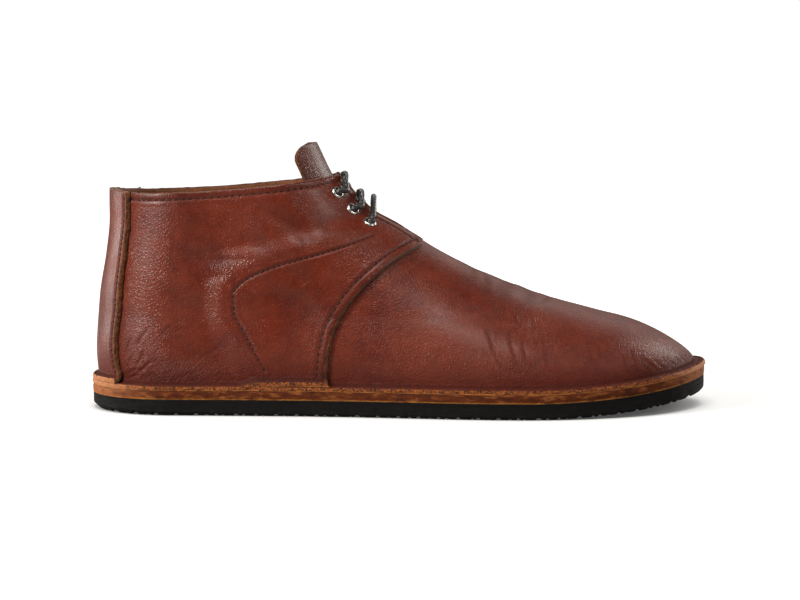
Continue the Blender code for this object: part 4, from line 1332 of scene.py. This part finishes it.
class Recipe:
    """Adds and joins the nodes of one material or node group."""

    def __init__(self, tree):
        self.tree = tree

    def feed(self, socket, value):
        if isinstance(value, bpy.types.NodeSocket):
            self.tree.links.new(value, socket)
        else:
            socket.default_value = value

    def node(self, kind, settings=None, **values):
        node = self.tree.nodes.new(kind)
        for name, value in (settings or {}).items():
            setattr(node, name, value)
        for name, value in values.items():
            self.feed(node.inputs[name.replace("_", " ")], value)
        return node

    def math(self, operation, *values):
        node = self.node("ShaderNodeMath", {"operation": operation})
        for socket, value in zip(node.inputs, values):
            self.feed(socket, value)
        return node.outputs[0]

    def remap(self, value, low, high, to_low=0.0, to_high=1.0):
        node = self.node("ShaderNodeMapRange", {"interpolation_type": "SMOOTHSTEP"}, Value=value)
        for name, number in zip(("From Min", "From Max", "To Min", "To Max"), (low, high, to_low, to_high)):
            self.feed(node.inputs[name], number)
        return node.outputs[0]

    def blend(self, factor, first, second, mode="MIX"):
        node = self.node("ShaderNodeMix", {"data_type": "RGBA", "blend_type": mode})
        for socket, value in zip((node.inputs[0], node.inputs[6], node.inputs[7]), (factor, first, second)):
            self.feed(socket, value)
        return node.outputs[2]

    def tint(self, tone, colour, mask, amount):
        """Lays a colour over a tone where the mask is, by an amount."""
        return self.blend(self.math("MULTIPLY", mask, amount), tone, colour)

    def finish(self, shader, **surface):
        for name, value in surface.items():
            self.feed(shader.inputs[name.replace("_", " ")], value)

    def place(self):
        return self.node("ShaderNodeTexCoord").outputs["Object"]

    def stretched(self, place, scale, lean=0.0):
        """Leans the place about the boot's width, then stretches it."""
        leant = self.node("ShaderNodeMapping", Vector=place, Rotation=(0.0, lean, 0.0)).outputs[0]
        return self.node("ShaderNodeMapping", Vector=leant, Scale=scale).outputs[0]

    def noise(self, place, scale, detail=3.0, roughness=0.55, distortion=0.0):
        values = dict(Vector=place, Scale=scale, Detail=detail, Roughness=roughness, Distortion=distortion)
        return self.node("ShaderNodeTexNoise", None, **values).outputs["Fac"]

    def cells(self, place, scale, feature="DISTANCE_TO_EDGE"):
        node = self.node("ShaderNodeTexVoronoi", {"feature": feature}, Vector=place, Scale=scale)
        return node.outputs["Distance"]

    def attribute(self, name):
        return self.node("ShaderNodeAttribute", {"attribute_name": name}).outputs["Fac"]

    def group(self, group, **values):
        return self.node("ShaderNodeGroup", {"node_tree": group}, **values).outputs

    def bump(self, height, strength, distance, normal=None):
        values = dict(Height=height, Strength=strength, Distance=distance)
        if normal is not None:
            values["Normal"] = normal
        return self.node("ShaderNodeBump", None, **values).outputs[0]


def new_group(name, inputs, outputs):
    """An empty node group with its sockets, as a recipe and its input and output sockets."""
    group = bpy.data.node_groups.new(name, "ShaderNodeTree")
    for label, value in inputs.items():
        kind = "NodeSocketColor" if isinstance(value, tuple) else "NodeSocketFloat"
        group.interface.new_socket(label, in_out="INPUT", socket_type=kind).default_value = value
    for label, kind in outputs.items():
        group.interface.new_socket(label, in_out="OUTPUT", socket_type=kind)
    recipe = Recipe(group)
    return group, recipe, recipe.node("NodeGroupInput").outputs, recipe.node("NodeGroupOutput").inputs


BLACK = (0.0, 0.0, 0.0, 1.0)
WHITE = (1.0, 1.0, 1.0, 1.0)


def pebbled_grain_group():
    """Rounded pebbles of grain with fine lines between them."""
    outputs = {"Height": "NodeSocketFloat", "Lines": "NodeSocketFloat"}
    group, make, taken, given = new_group("pebbled_grain", {"Density": 1200.0}, outputs)
    place = make.place()
    wander = make.node("ShaderNodeTexNoise", None, Vector=place, Scale=420.0, Detail=2.0).outputs["Color"]
    shift = make.node("ShaderNodeVectorMath", {"operation": "SCALE"}, Vector=wander, Scale=0.0009).outputs[0]
    bent = make.node("ShaderNodeVectorMath", {"operation": "ADD"})
    make.feed(bent.inputs[0], place)
    make.feed(bent.inputs[1], shift)
    large = make.cells(bent.outputs[0], taken["Density"])
    small = make.cells(bent.outputs[0], make.math("MULTIPLY", taken["Density"], 2.3))
    pebble = make.remap(large, 0.0, 0.42)
    fine = make.remap(small, 0.0, 0.35)
    height = make.math("MULTIPLY_ADD", pebble, 0.86, make.math("MULTIPLY", fine, 0.14))
    make.feed(given["Height"], height)
    make.feed(given["Lines"], make.remap(large, 0.0, 0.14, 1.0, 0.0))
    return group


def waxed_tone_group():
    """Cloudy tones of oiled leather: deep where it was handled, pale where it was stretched."""
    colours = dict.fromkeys(("Deep", "Middle", "Pale"), BLACK)
    group, make, taken, given = new_group("waxed_tone", colours, {"Colour": "NodeSocketColor"})
    place = make.place()
    broad = make.remap(make.noise(place, 26.0, 4.0, 0.6), 0.34, 0.66)
    close = make.remap(make.noise(place, 150.0, 4.0, 0.65, 0.4), 0.35, 0.7)
    fine = make.remap(make.noise(place, 900.0, 2.0), 0.3, 0.7)
    tone = make.blend(broad, taken["Deep"], taken["Middle"])
    tone = make.tint(tone, taken["Pale"], close, 0.45)
    tone = make.tint(tone, taken["Deep"], fine, 0.16)
    make.feed(given["Colour"], tone)
    return group


def cut_fibres_group():
    """Loose fibres of cut or split leather, with dark flecks."""
    inputs = {**dict.fromkeys(("Ground", "Fibre", "Fleck"), BLACK), "Density": 1500.0}
    outputs = {"Colour": "NodeSocketColor", "Height": "NodeSocketFloat"}
    group, make, taken, given = new_group("cut_fibres", inputs, outputs)
    place = make.place()
    fuzz = make.noise(place, taken["Density"], 4.0, 0.7, 0.6)
    tuft = make.noise(place, make.math("MULTIPLY", taken["Density"], 0.28), 3.0, 0.6)
    fleck = make.remap(make.noise(place, make.math("MULTIPLY", taken["Density"], 0.62), 2.0, 0.5), 0.56, 0.66)
    tone = make.blend(make.remap(fuzz, 0.36, 0.64), taken["Ground"], taken["Fibre"])
    tone = make.tint(tone, taken["Ground"], make.remap(tuft, 0.4, 0.7), 0.5)
    tone = make.tint(tone, taken["Fleck"], fleck, 0.8)
    make.feed(given["Colour"], tone)
    make.feed(given["Height"], make.math("MULTIPLY_ADD", tuft, 0.5, make.math("MULTIPLY", fuzz, 0.5)))
    return group


def rubbed_group():
    """Patches and scratches where a surface is rubbed or dusty."""
    group, make, taken, given = new_group("rubbed", {"Amount": 0.5}, {"Mask": "NodeSocketFloat"})
    place = make.place()
    patches = make.noise(place, 70.0, 5.0, 0.65)
    specks = make.noise(place, 1400.0, 2.0, 0.6)
    scratches = make.noise(make.stretched(place, (260.0, 260.0, 1900.0)), 1.0, 3.0, 0.6)
    mix = make.math("MULTIPLY_ADD", specks, 0.45, make.math("MULTIPLY", scratches, 0.25))
    mix = make.math("ADD", mix, make.math("MULTIPLY", patches, 0.45))
    low = make.math("SUBTRACT", 0.86, make.math("MULTIPLY", taken["Amount"], 0.5))
    make.feed(given["Mask"], make.remap(mix, low, make.math("ADD", low, 0.16)))
    return group


HEEL_WRINKLE_LEAN = np.radians(-48.0)
GRAIN = pebbled_grain_group()
TONE = waxed_tone_group()
FIBRES = cut_fibres_group()
RUBBED = rubbed_group()


def new_material(name, **constants):
    """A node material: its recipe and its shader, with the values that are the same all over it."""
    material = bpy.data.materials.new(name)
    material.use_nodes = True
    recipe = Recipe(material.node_tree)
    shader = material.node_tree.nodes["Principled BSDF"]
    recipe.finish(shader, **constants)
    return material, recipe, shader


def grain_leather(name, deep, middle, pale, gloss, wax, wrinkle_lean=0.0):
    """Pebbled full-grain leather, waxed, with painted shade in its creases, seam grooves and at the foot of
    the wall, and darker along its edges from burnish with painted shade.
    """
    material, make, shader = new_material(name, Coat_Roughness=0.28, Specular_IOR_Level=0.22)
    grain = make.group(GRAIN, Density=760.0)
    tone = make.group(TONE, Deep=deep, Middle=middle, Pale=pale)["Colour"]
    crease = make.attribute("crease")
    edge = make.attribute("edge")
    place = make.place()
    dark = tuple(0.35 * value for value in deep[:3]) + (1.0,)
    # Painted shade: the crease attribute darkens creases, seam grooves and the foot of the wall; the edge
    # attribute darkens the rims with burnish and painted shade
    for mask, amount in ((grain["Lines"], 0.30), (crease, 0.5), (edge, 0.55)):
        tone = make.tint(tone, dark, mask, amount)
    handled = make.noise(place, 45.0, 4.0, 0.6)
    rough = make.math("ADD", make.remap(handled, 0.3, 0.7, gloss - 0.05, gloss + 0.08),
                      make.math("MULTIPLY", grain["Lines"], 0.14))
    flange = make.attribute("flange")
    rough = make.math("MULTIPLY_ADD", make.math("MAXIMUM", crease, flange), 0.35, rough)
    coat = make.remap(make.noise(place, 60.0, 3.0), 0.35, 0.65, 0.55 * wax, wax)
    coat = make.math("MULTIPLY", coat, make.remap(make.math("ADD", crease, flange), 0.0, 0.6, 1.0, 0.0))
    wrinkle = make.noise(make.stretched(place, (210.0, 210.0, 420.0)), 1.0, 4.0, 0.6, 0.8)
    normal = make.bump(wrinkle, 0.25, 0.0009)
    fold = make.noise(make.stretched(place, (620.0, 120.0, 110.0), wrinkle_lean), 1.0, 3.0, 0.6, 0.9)
    valley = make.remap(make.math("ABSOLUTE", make.math("SUBTRACT", fold, 0.5)), 0.0, 0.11)
    normal = make.bump(make.math("MULTIPLY", valley, make.attribute("wrinkled")), 0.5, 0.0006, normal)
    normal = make.bump(grain["Height"], 0.55, 0.00022, normal)
    make.finish(shader, Base_Color=tone, Roughness=rough, Coat_Weight=coat, Normal=normal)
    return material


def fibre_leather(name, ground, fibre, fleck, density, depth, grain_side=None, flesh_side=None,
                  lit_and_worn_ends=None):
    """The cut edge or the flesh side of leather.

    An edge may have a line of its own along either side, and be paler at the heel and the toe, a painted
    highlight along with wear.
    """
    material, make, shader = new_material(
        name, Specular_IOR_Level=0.2, Sheen_Weight=0.12, Sheen_Roughness=0.5)
    fibres = make.group(FIBRES, Ground=ground, Fibre=fibre, Fleck=fleck, Density=density)
    rubbed = make.group(RUBBED, Amount=0.35)["Mask"]
    tone = make.tint(fibres["Colour"], fibre, rubbed, 0.25)
    if grain_side is not None:
        wander = make.math("MULTIPLY_ADD", make.noise(make.place(), 700.0, 3.0), 0.3, make.attribute("rim"))
        tone = make.blend(make.remap(wander, 0.17, 0.34, 0.85, 0.0), tone, grain_side)
        tone = make.blend(make.remap(wander, 0.90, 1.06, 0.0, 0.85), tone, flesh_side)
    if lit_and_worn_ends is not None:
        # Painted highlight along with wear: paler at the heel and the toe
        tone = make.tint(tone, lit_and_worn_ends, make.attribute("ends"), 0.55)
    rough = make.remap(fibres["Height"], 0.3, 0.7, 0.82, 0.96)
    make.finish(shader, Base_Color=tone, Roughness=rough, Normal=make.bump(fibres["Height"], 0.8, depth))
    return material


def sole_leather():
    """The midsole's edge: a pale line at its foot, a browned band above it and a rougher top."""
    material, make, shader = new_material("sole_leather_edge", Specular_IOR_Level=0.1)
    level = make.attribute("level")
    fibres = make.group(
        FIBRES, Ground=srgb(68, 27, 8), Fibre=srgb(106, 50, 18), Fleck=srgb(36, 13, 4), Density=1900.0)
    rubbed = make.group(RUBBED, Amount=0.5)["Mask"]
    place = make.place()
    streak = make.noise(make.stretched(place, (90.0, 90.0, 1500.0)), 1.0, 4.0, 0.65)
    uneven = make.noise(place, 240.0, 5.0, 0.75)
    sag = make.math("MULTIPLY_ADD", uneven, 0.34, make.math("SUBTRACT", level, 0.17))
    band = make.math("MULTIPLY", make.remap(sag, 0.16, 0.34), make.remap(sag, 0.86, 1.04, 1.0, 0.25))
    tone = make.tint(fibres["Colour"], srgb(66, 24, 7), band, 0.6)
    tone = make.tint(tone, srgb(156, 102, 44), make.remap(sag, 0.04, 0.20, 1.0, 0.0), 0.85)
    tone = make.tint(tone, srgb(112, 56, 21), make.remap(streak, 0.5, 0.72), 0.4)
    tone = make.tint(tone, srgb(132, 80, 44), rubbed, 0.25)
    smudge = make.noise(make.stretched(place, (70.0, 70.0, 260.0)), 1.0, 4.0, 0.65)
    tone = make.tint(tone, srgb(44, 19, 9), make.remap(smudge, 0.52, 0.66), 0.6)
    # Painted highlight along with wear: paler at the heel and the toe
    tone = make.tint(tone, srgb(160, 100, 62), make.attribute("ends"), 0.6)
    mottle = make.noise(make.stretched(place, (150.0, 150.0, 520.0)), 1.0, 3.0, 0.6)
    tone = make.tint(tone, srgb(50, 22, 10), make.remap(mottle, 0.32, 0.50, 1.0, 0.0), 0.55)
    tone = make.tint(tone, srgb(156, 96, 52), make.remap(mottle, 0.50, 0.74), 0.5)
    tone = make.tint(tone, srgb(48, 22, 10), make.remap(sag, 0.95, 1.08), 0.6)
    rough = make.remap(streak, 0.3, 0.7, 0.55, 0.8)
    height = make.math("MULTIPLY_ADD", streak, 0.6, make.math("MULTIPLY", fibres["Height"], 0.4))
    make.finish(shader, Base_Color=tone, Roughness=rough, Normal=make.bump(height, 0.6, 0.00025))
    return material


def sanded_rubber():
    material, make, shader = new_material("sanded_rubber", Specular_IOR_Level=0.12)
    rubbed = make.group(RUBBED, Amount=0.42)["Mask"]
    place = make.place()
    crumbs = make.noise(place, 1700.0, 4.0, 0.7)
    sanding = make.noise(make.stretched(place, (150.0, 150.0, 1300.0)), 1.0, 3.0, 0.6)
    tone = make.blend(make.remap(crumbs, 0.3, 0.75), srgb(6, 5, 6), srgb(18, 16, 16))
    tone = make.tint(tone, srgb(46, 41, 38), rubbed, 0.3)
    rough = make.remap(sanding, 0.3, 0.7, 0.62, 0.86)
    height = make.math("MULTIPLY_ADD", crumbs, 0.7, make.math("MULTIPLY", sanding, 0.3))
    make.finish(shader, Base_Color=tone, Roughness=rough, Normal=make.bump(height, 0.6, 0.00022))
    return material


def footbed_leather():
    """Natural vegetable-tanned leather, darker where it is pressed."""
    material, make, shader = new_material("footbed_leather", Specular_IOR_Level=0.35)
    tone = make.group(
        TONE, Deep=srgb(120, 82, 50), Middle=srgb(160, 116, 76), Pale=srgb(178, 136, 94))["Colour"]
    grain = make.group(GRAIN, Density=1700.0)
    rubbed = make.group(RUBBED, Amount=0.4)["Mask"]
    tone = make.tint(tone, srgb(104, 70, 44), rubbed, 0.35)
    rough = make.remap(rubbed, 0.0, 1.0, 0.72, 0.58)
    make.finish(shader, Base_Color=tone, Roughness=rough, Normal=make.bump(grain["Height"], 0.3, 0.0001))
    return material


def waxed_thread():
    material, make, shader = new_material("waxed_thread", Specular_IOR_Level=0.2)
    ply = make.math("SINE", make.math("MULTIPLY", make.attribute("along"), 9.0))
    fluff = make.noise(make.place(), 2600.0, 3.0, 0.6)
    tone = make.blend(make.remap(fluff, 0.3, 0.7), srgb(26, 12, 7), srgb(58, 29, 17))
    tone = make.tint(tone, srgb(18, 9, 7), make.remap(ply, -1.0, 0.0, 1.0, 0.0), 0.5)
    rough = make.remap(fluff, 0.3, 0.7, 0.45, 0.65)
    height = make.math("MULTIPLY_ADD", ply, 0.4, fluff)
    make.finish(shader, Base_Color=tone, Roughness=rough, Normal=make.bump(height, 0.6, 0.0001))
    return material


def worn_nickel():
    material, make, shader = new_material("worn_nickel")
    rubbed = make.group(RUBBED, Amount=0.5)["Mask"]
    turning = make.noise(make.place(), 900.0, 3.0, 0.6)
    tone = make.blend(make.remap(turning, 0.3, 0.7), srgb(176, 174, 170), srgb(214, 212, 208))
    tone = make.tint(tone, srgb(120, 112, 104), rubbed, 0.5)
    metal = make.remap(rubbed, 0.0, 1.0, 1.0, 0.85)
    rough = make.remap(turning, 0.3, 0.7, 0.2, 0.36)
    normal = make.bump(turning, 0.15, 0.0001)
    make.finish(shader, Base_Color=tone, Metallic=metal, Roughness=rough, Normal=normal)
    return material


def braided_cord():
    """Waxed round braid: two sets of strands that wind opposite ways."""
    material, make, shader = new_material("braided_cord", Coat_Roughness=0.3, Specular_IOR_Level=0.5)
    wind = make.math("MULTIPLY", make.attribute("along"), 2600.0)
    around = make.math("MULTIPLY", make.attribute("around"), 4.0)
    right = make.math("SINE", make.math("ADD", wind, around))
    left = make.math("SINE", make.math("SUBTRACT", wind, around))
    strands = make.math("MAXIMUM", right, left)
    rubbed = make.group(RUBBED, Amount=0.4)["Mask"]
    tone = make.blend(make.remap(strands, -0.4, 1.0), srgb(3, 3, 4), srgb(18, 17, 17))
    tone = make.tint(tone, srgb(44, 41, 40), rubbed, 0.2)
    rough = make.remap(strands, -0.4, 1.0, 0.55, 0.28)
    wax = make.remap(rubbed, 0.0, 1.0, 0.35, 0.1)
    normal = make.bump(strands, 0.7, 0.00022)
    make.finish(shader, Base_Color=tone, Roughness=rough, Coat_Weight=wax, Normal=normal)
    return material


FLOOR_GLOW_NEAR = 0.62
FLOOR_GLOW_FAR = 1.05
FLOOR_GLOW_START = 0.22
FLOOR_GLOW_END = 0.60
FLOOR_SIZE = 6.0
FLOOR_HEIGHT = -0.0002
CONTACT_REACH = 0.030
CONTACT_GLOW = 0.12


def pale_floor():
    """A pale floor that glows white where the camera sees it, with a painted contact shadow that dims the
    glow near and under the boot.
    """
    material, make, shader = new_material("pale_floor", Specular_IOR_Level=0.1)
    speck = make.noise(make.place(), 30.0, 4.0, 0.6)
    tone = make.blend(speck, (0.36, 0.36, 0.36, 1.0), (0.40, 0.40, 0.40, 1.0))
    rough = make.remap(speck, 0.3, 0.7, 0.6, 0.7)
    seen = make.node("ShaderNodeLightPath").outputs["Is Camera Ray"]
    away = make.node("ShaderNodeVectorMath", {"operation": "LENGTH"})
    make.feed(away.inputs[0], make.place())
    distance = away.outputs["Value"]
    glow = make.remap(distance, FLOOR_GLOW_START, FLOOR_GLOW_END, FLOOR_GLOW_NEAR, FLOOR_GLOW_FAR)
    # Painted contact shadow: the glow is dimmed where the floor is hemmed in by the boot
    open_sky = make.node("ShaderNodeAmbientOcclusion", None, Distance=CONTACT_REACH).outputs["AO"]
    glow_left_by_painted_shadow = make.remap(open_sky, 0.15, 0.80, CONTACT_GLOW, 1.0)
    glow = make.math("MULTIPLY", make.math("MULTIPLY", seen, glow), glow_left_by_painted_shadow)
    make.finish(shader, Base_Color=tone, Roughness=rough, Emission_Color=WHITE, Emission_Strength=glow)
    return material


def make_floor():
    mesh = bpy.data.meshes.new("floor")
    corners = [(-1, -1), (1, -1), (1, 1), (-1, 1)]
    points = [(x * FLOOR_SIZE, y * FLOOR_SIZE, FLOOR_HEIGHT) for x, y in corners]
    mesh.from_pydata(points, [], [(0, 1, 2, 3)])
    mesh.materials.append(pale_floor())
    floor = bpy.data.objects.new("floor", mesh)
    bpy.context.scene.collection.objects.link(floor)


Lamp = namedtuple("Lamp", "name place aim width height power")
LAMPS = (
    Lamp("key_softbox", (-1.20, -0.75, 0.70), (-0.05, 0.0, 0.06), 0.35, 0.60, 31.0),
    Lamp("top_softbox", (0.0, -0.60, 1.20), (0.02, 0.0, 0.0), 0.7, 0.4, 10.0),
    Lamp("right_softbox", (1.25, -0.60, 0.70), (0.07, 0.0, 0.05), 0.35, 0.5, 7.0),
    Lamp("back_softbox", (0.1, 1.4, 0.9), (0.0, 0.0, 0.05), 1.2, 0.8, 3.2),
    Lamp("inner_softbox", (1.15, 0.95, 0.60), (0.02, 0.0, 0.05), 0.4, 0.6, 12.0),
    Lamp("heel_softbox", (-1.20, 0.42, 0.32), (-0.14, 0.0, 0.07), 0.5, 0.6, 7.0),
)
LAMP_COLOUR = (1.0, 0.955, 0.89)


def make_lights():
    for lamp in LAMPS:
        light = bpy.data.lights.new(lamp.name, "AREA")
        light.shape = "RECTANGLE"
        light.size = lamp.width
        light.size_y = lamp.height
        light.energy = lamp.power
        light.color = LAMP_COLOUR
        holder = bpy.data.objects.new(lamp.name, light)
        holder.location = lamp.place
        holder.rotation_euler = (Vector(lamp.aim) - Vector(lamp.place)).to_track_quat("-Z", "Y").to_euler()
        bpy.context.scene.collection.objects.link(holder)


WORLD_LIGHT = 0.07
WORLD_GLOW = 1.05


def make_world():
    """A white surround that lights the boot gently and shows as plain white."""
    world = bpy.data.worlds.new("white_surround")
    world.use_nodes = True
    bpy.context.scene.world = world
    make = Recipe(world.node_tree)
    seen = make.node("ShaderNodeLightPath").outputs["Is Camera Ray"]
    surround = world.node_tree.nodes["Background"]
    make.finish(surround, Color=WHITE, Strength=make.remap(seen, 0.0, 1.0, WORLD_LIGHT, WORLD_GLOW))
    bpy.context.scene.view_settings.view_transform = "Standard"


CAMERA_TARGET = Vector((0.0, 0.0, 0.050))
CAMERA_DISTANCE = 1.18
CAMERA_ELEVATION = np.radians(5.0)
CAMERA_LENS = 112
CAMERA_SENSOR = 36


def make_camera():
    camera = bpy.data.cameras.new("camera")
    camera.lens = CAMERA_LENS
    camera.sensor_width = CAMERA_SENSOR
    holder = bpy.data.objects.new("camera", camera)
    away = Vector((0.0, -np.cos(CAMERA_ELEVATION), np.sin(CAMERA_ELEVATION)))
    holder.location = CAMERA_TARGET + away * CAMERA_DISTANCE
    holder.rotation_euler = (-away).to_track_quat("-Z", "Y").to_euler()
    bpy.context.scene.collection.objects.link(holder)
    bpy.context.scene.camera = holder


def main():
    make_camera()
    make_world()
    make_lights()
    make_floor()
    uppers = srgb(76, 20, 6), srgb(95, 31, 12), srgb(112, 43, 20)
    quarter = grain_leather("quarter_grain", *uppers, gloss=0.30, wax=0.30, wrinkle_lean=HEEL_WRINKLE_LEAN)
    vamp = grain_leather("vamp_grain", *uppers, gloss=0.34, wax=0.15)
    tongue = grain_leather(
        "tongue_grain", srgb(64, 18, 6), srgb(80, 26, 11), srgb(94, 35, 17), gloss=0.40, wax=0.12)
    flesh = fibre_leather(
        "flesh_side", srgb(84, 46, 28), srgb(118, 73, 46), srgb(68, 37, 22), density=2300.0, depth=0.0002)
    # The cut edge has a painted highlight along its grain side and a painted shadow along its flesh side,
    # where it meets the sheet beneath
    cut = fibre_leather(
        "cut_edge", srgb(50, 24, 8), srgb(112, 64, 26), srgb(20, 8, 3), density=1500.0, depth=0.0004,
        grain_side=srgb(112, 56, 22), flesh_side=srgb(18, 7, 3))
    flange = fibre_leather(
        "flange_edge", srgb(36, 10, 3), srgb(166, 90, 38), srgb(14, 3, 1), density=1350.0, depth=0.0006,
        grain_side=srgb(46, 14, 5), flesh_side=srgb(160, 98, 42), lit_and_worn_ends=srgb(192, 130, 88))
    thread = waxed_thread()
    make_vamp([vamp, flesh, cut, flange])
    make_quarters([quarter, flesh, cut, flange])
    make_heel_panel([quarter, flesh, cut, flange])
    make_tongue([tongue, flesh, cut, cut])
    make_insole(footbed_leather())
    make_midsole(sole_leather())
    make_outsole(sanded_rubber())
    make_stitches("upper_stitches", quarter_seams() + vamp_seams(), thread, "upper",
                  creases=quarter_creases())
    make_stitches("heel_panel_stitches", panel_seams(), thread, "heel_panel")
    make_stitches("flange_stitches", flange_seams(), thread, "upper", FLANGE_THREAD_RADIUS)
    make_eyelets(worn_nickel())
    make_lace(braided_cord())


main()
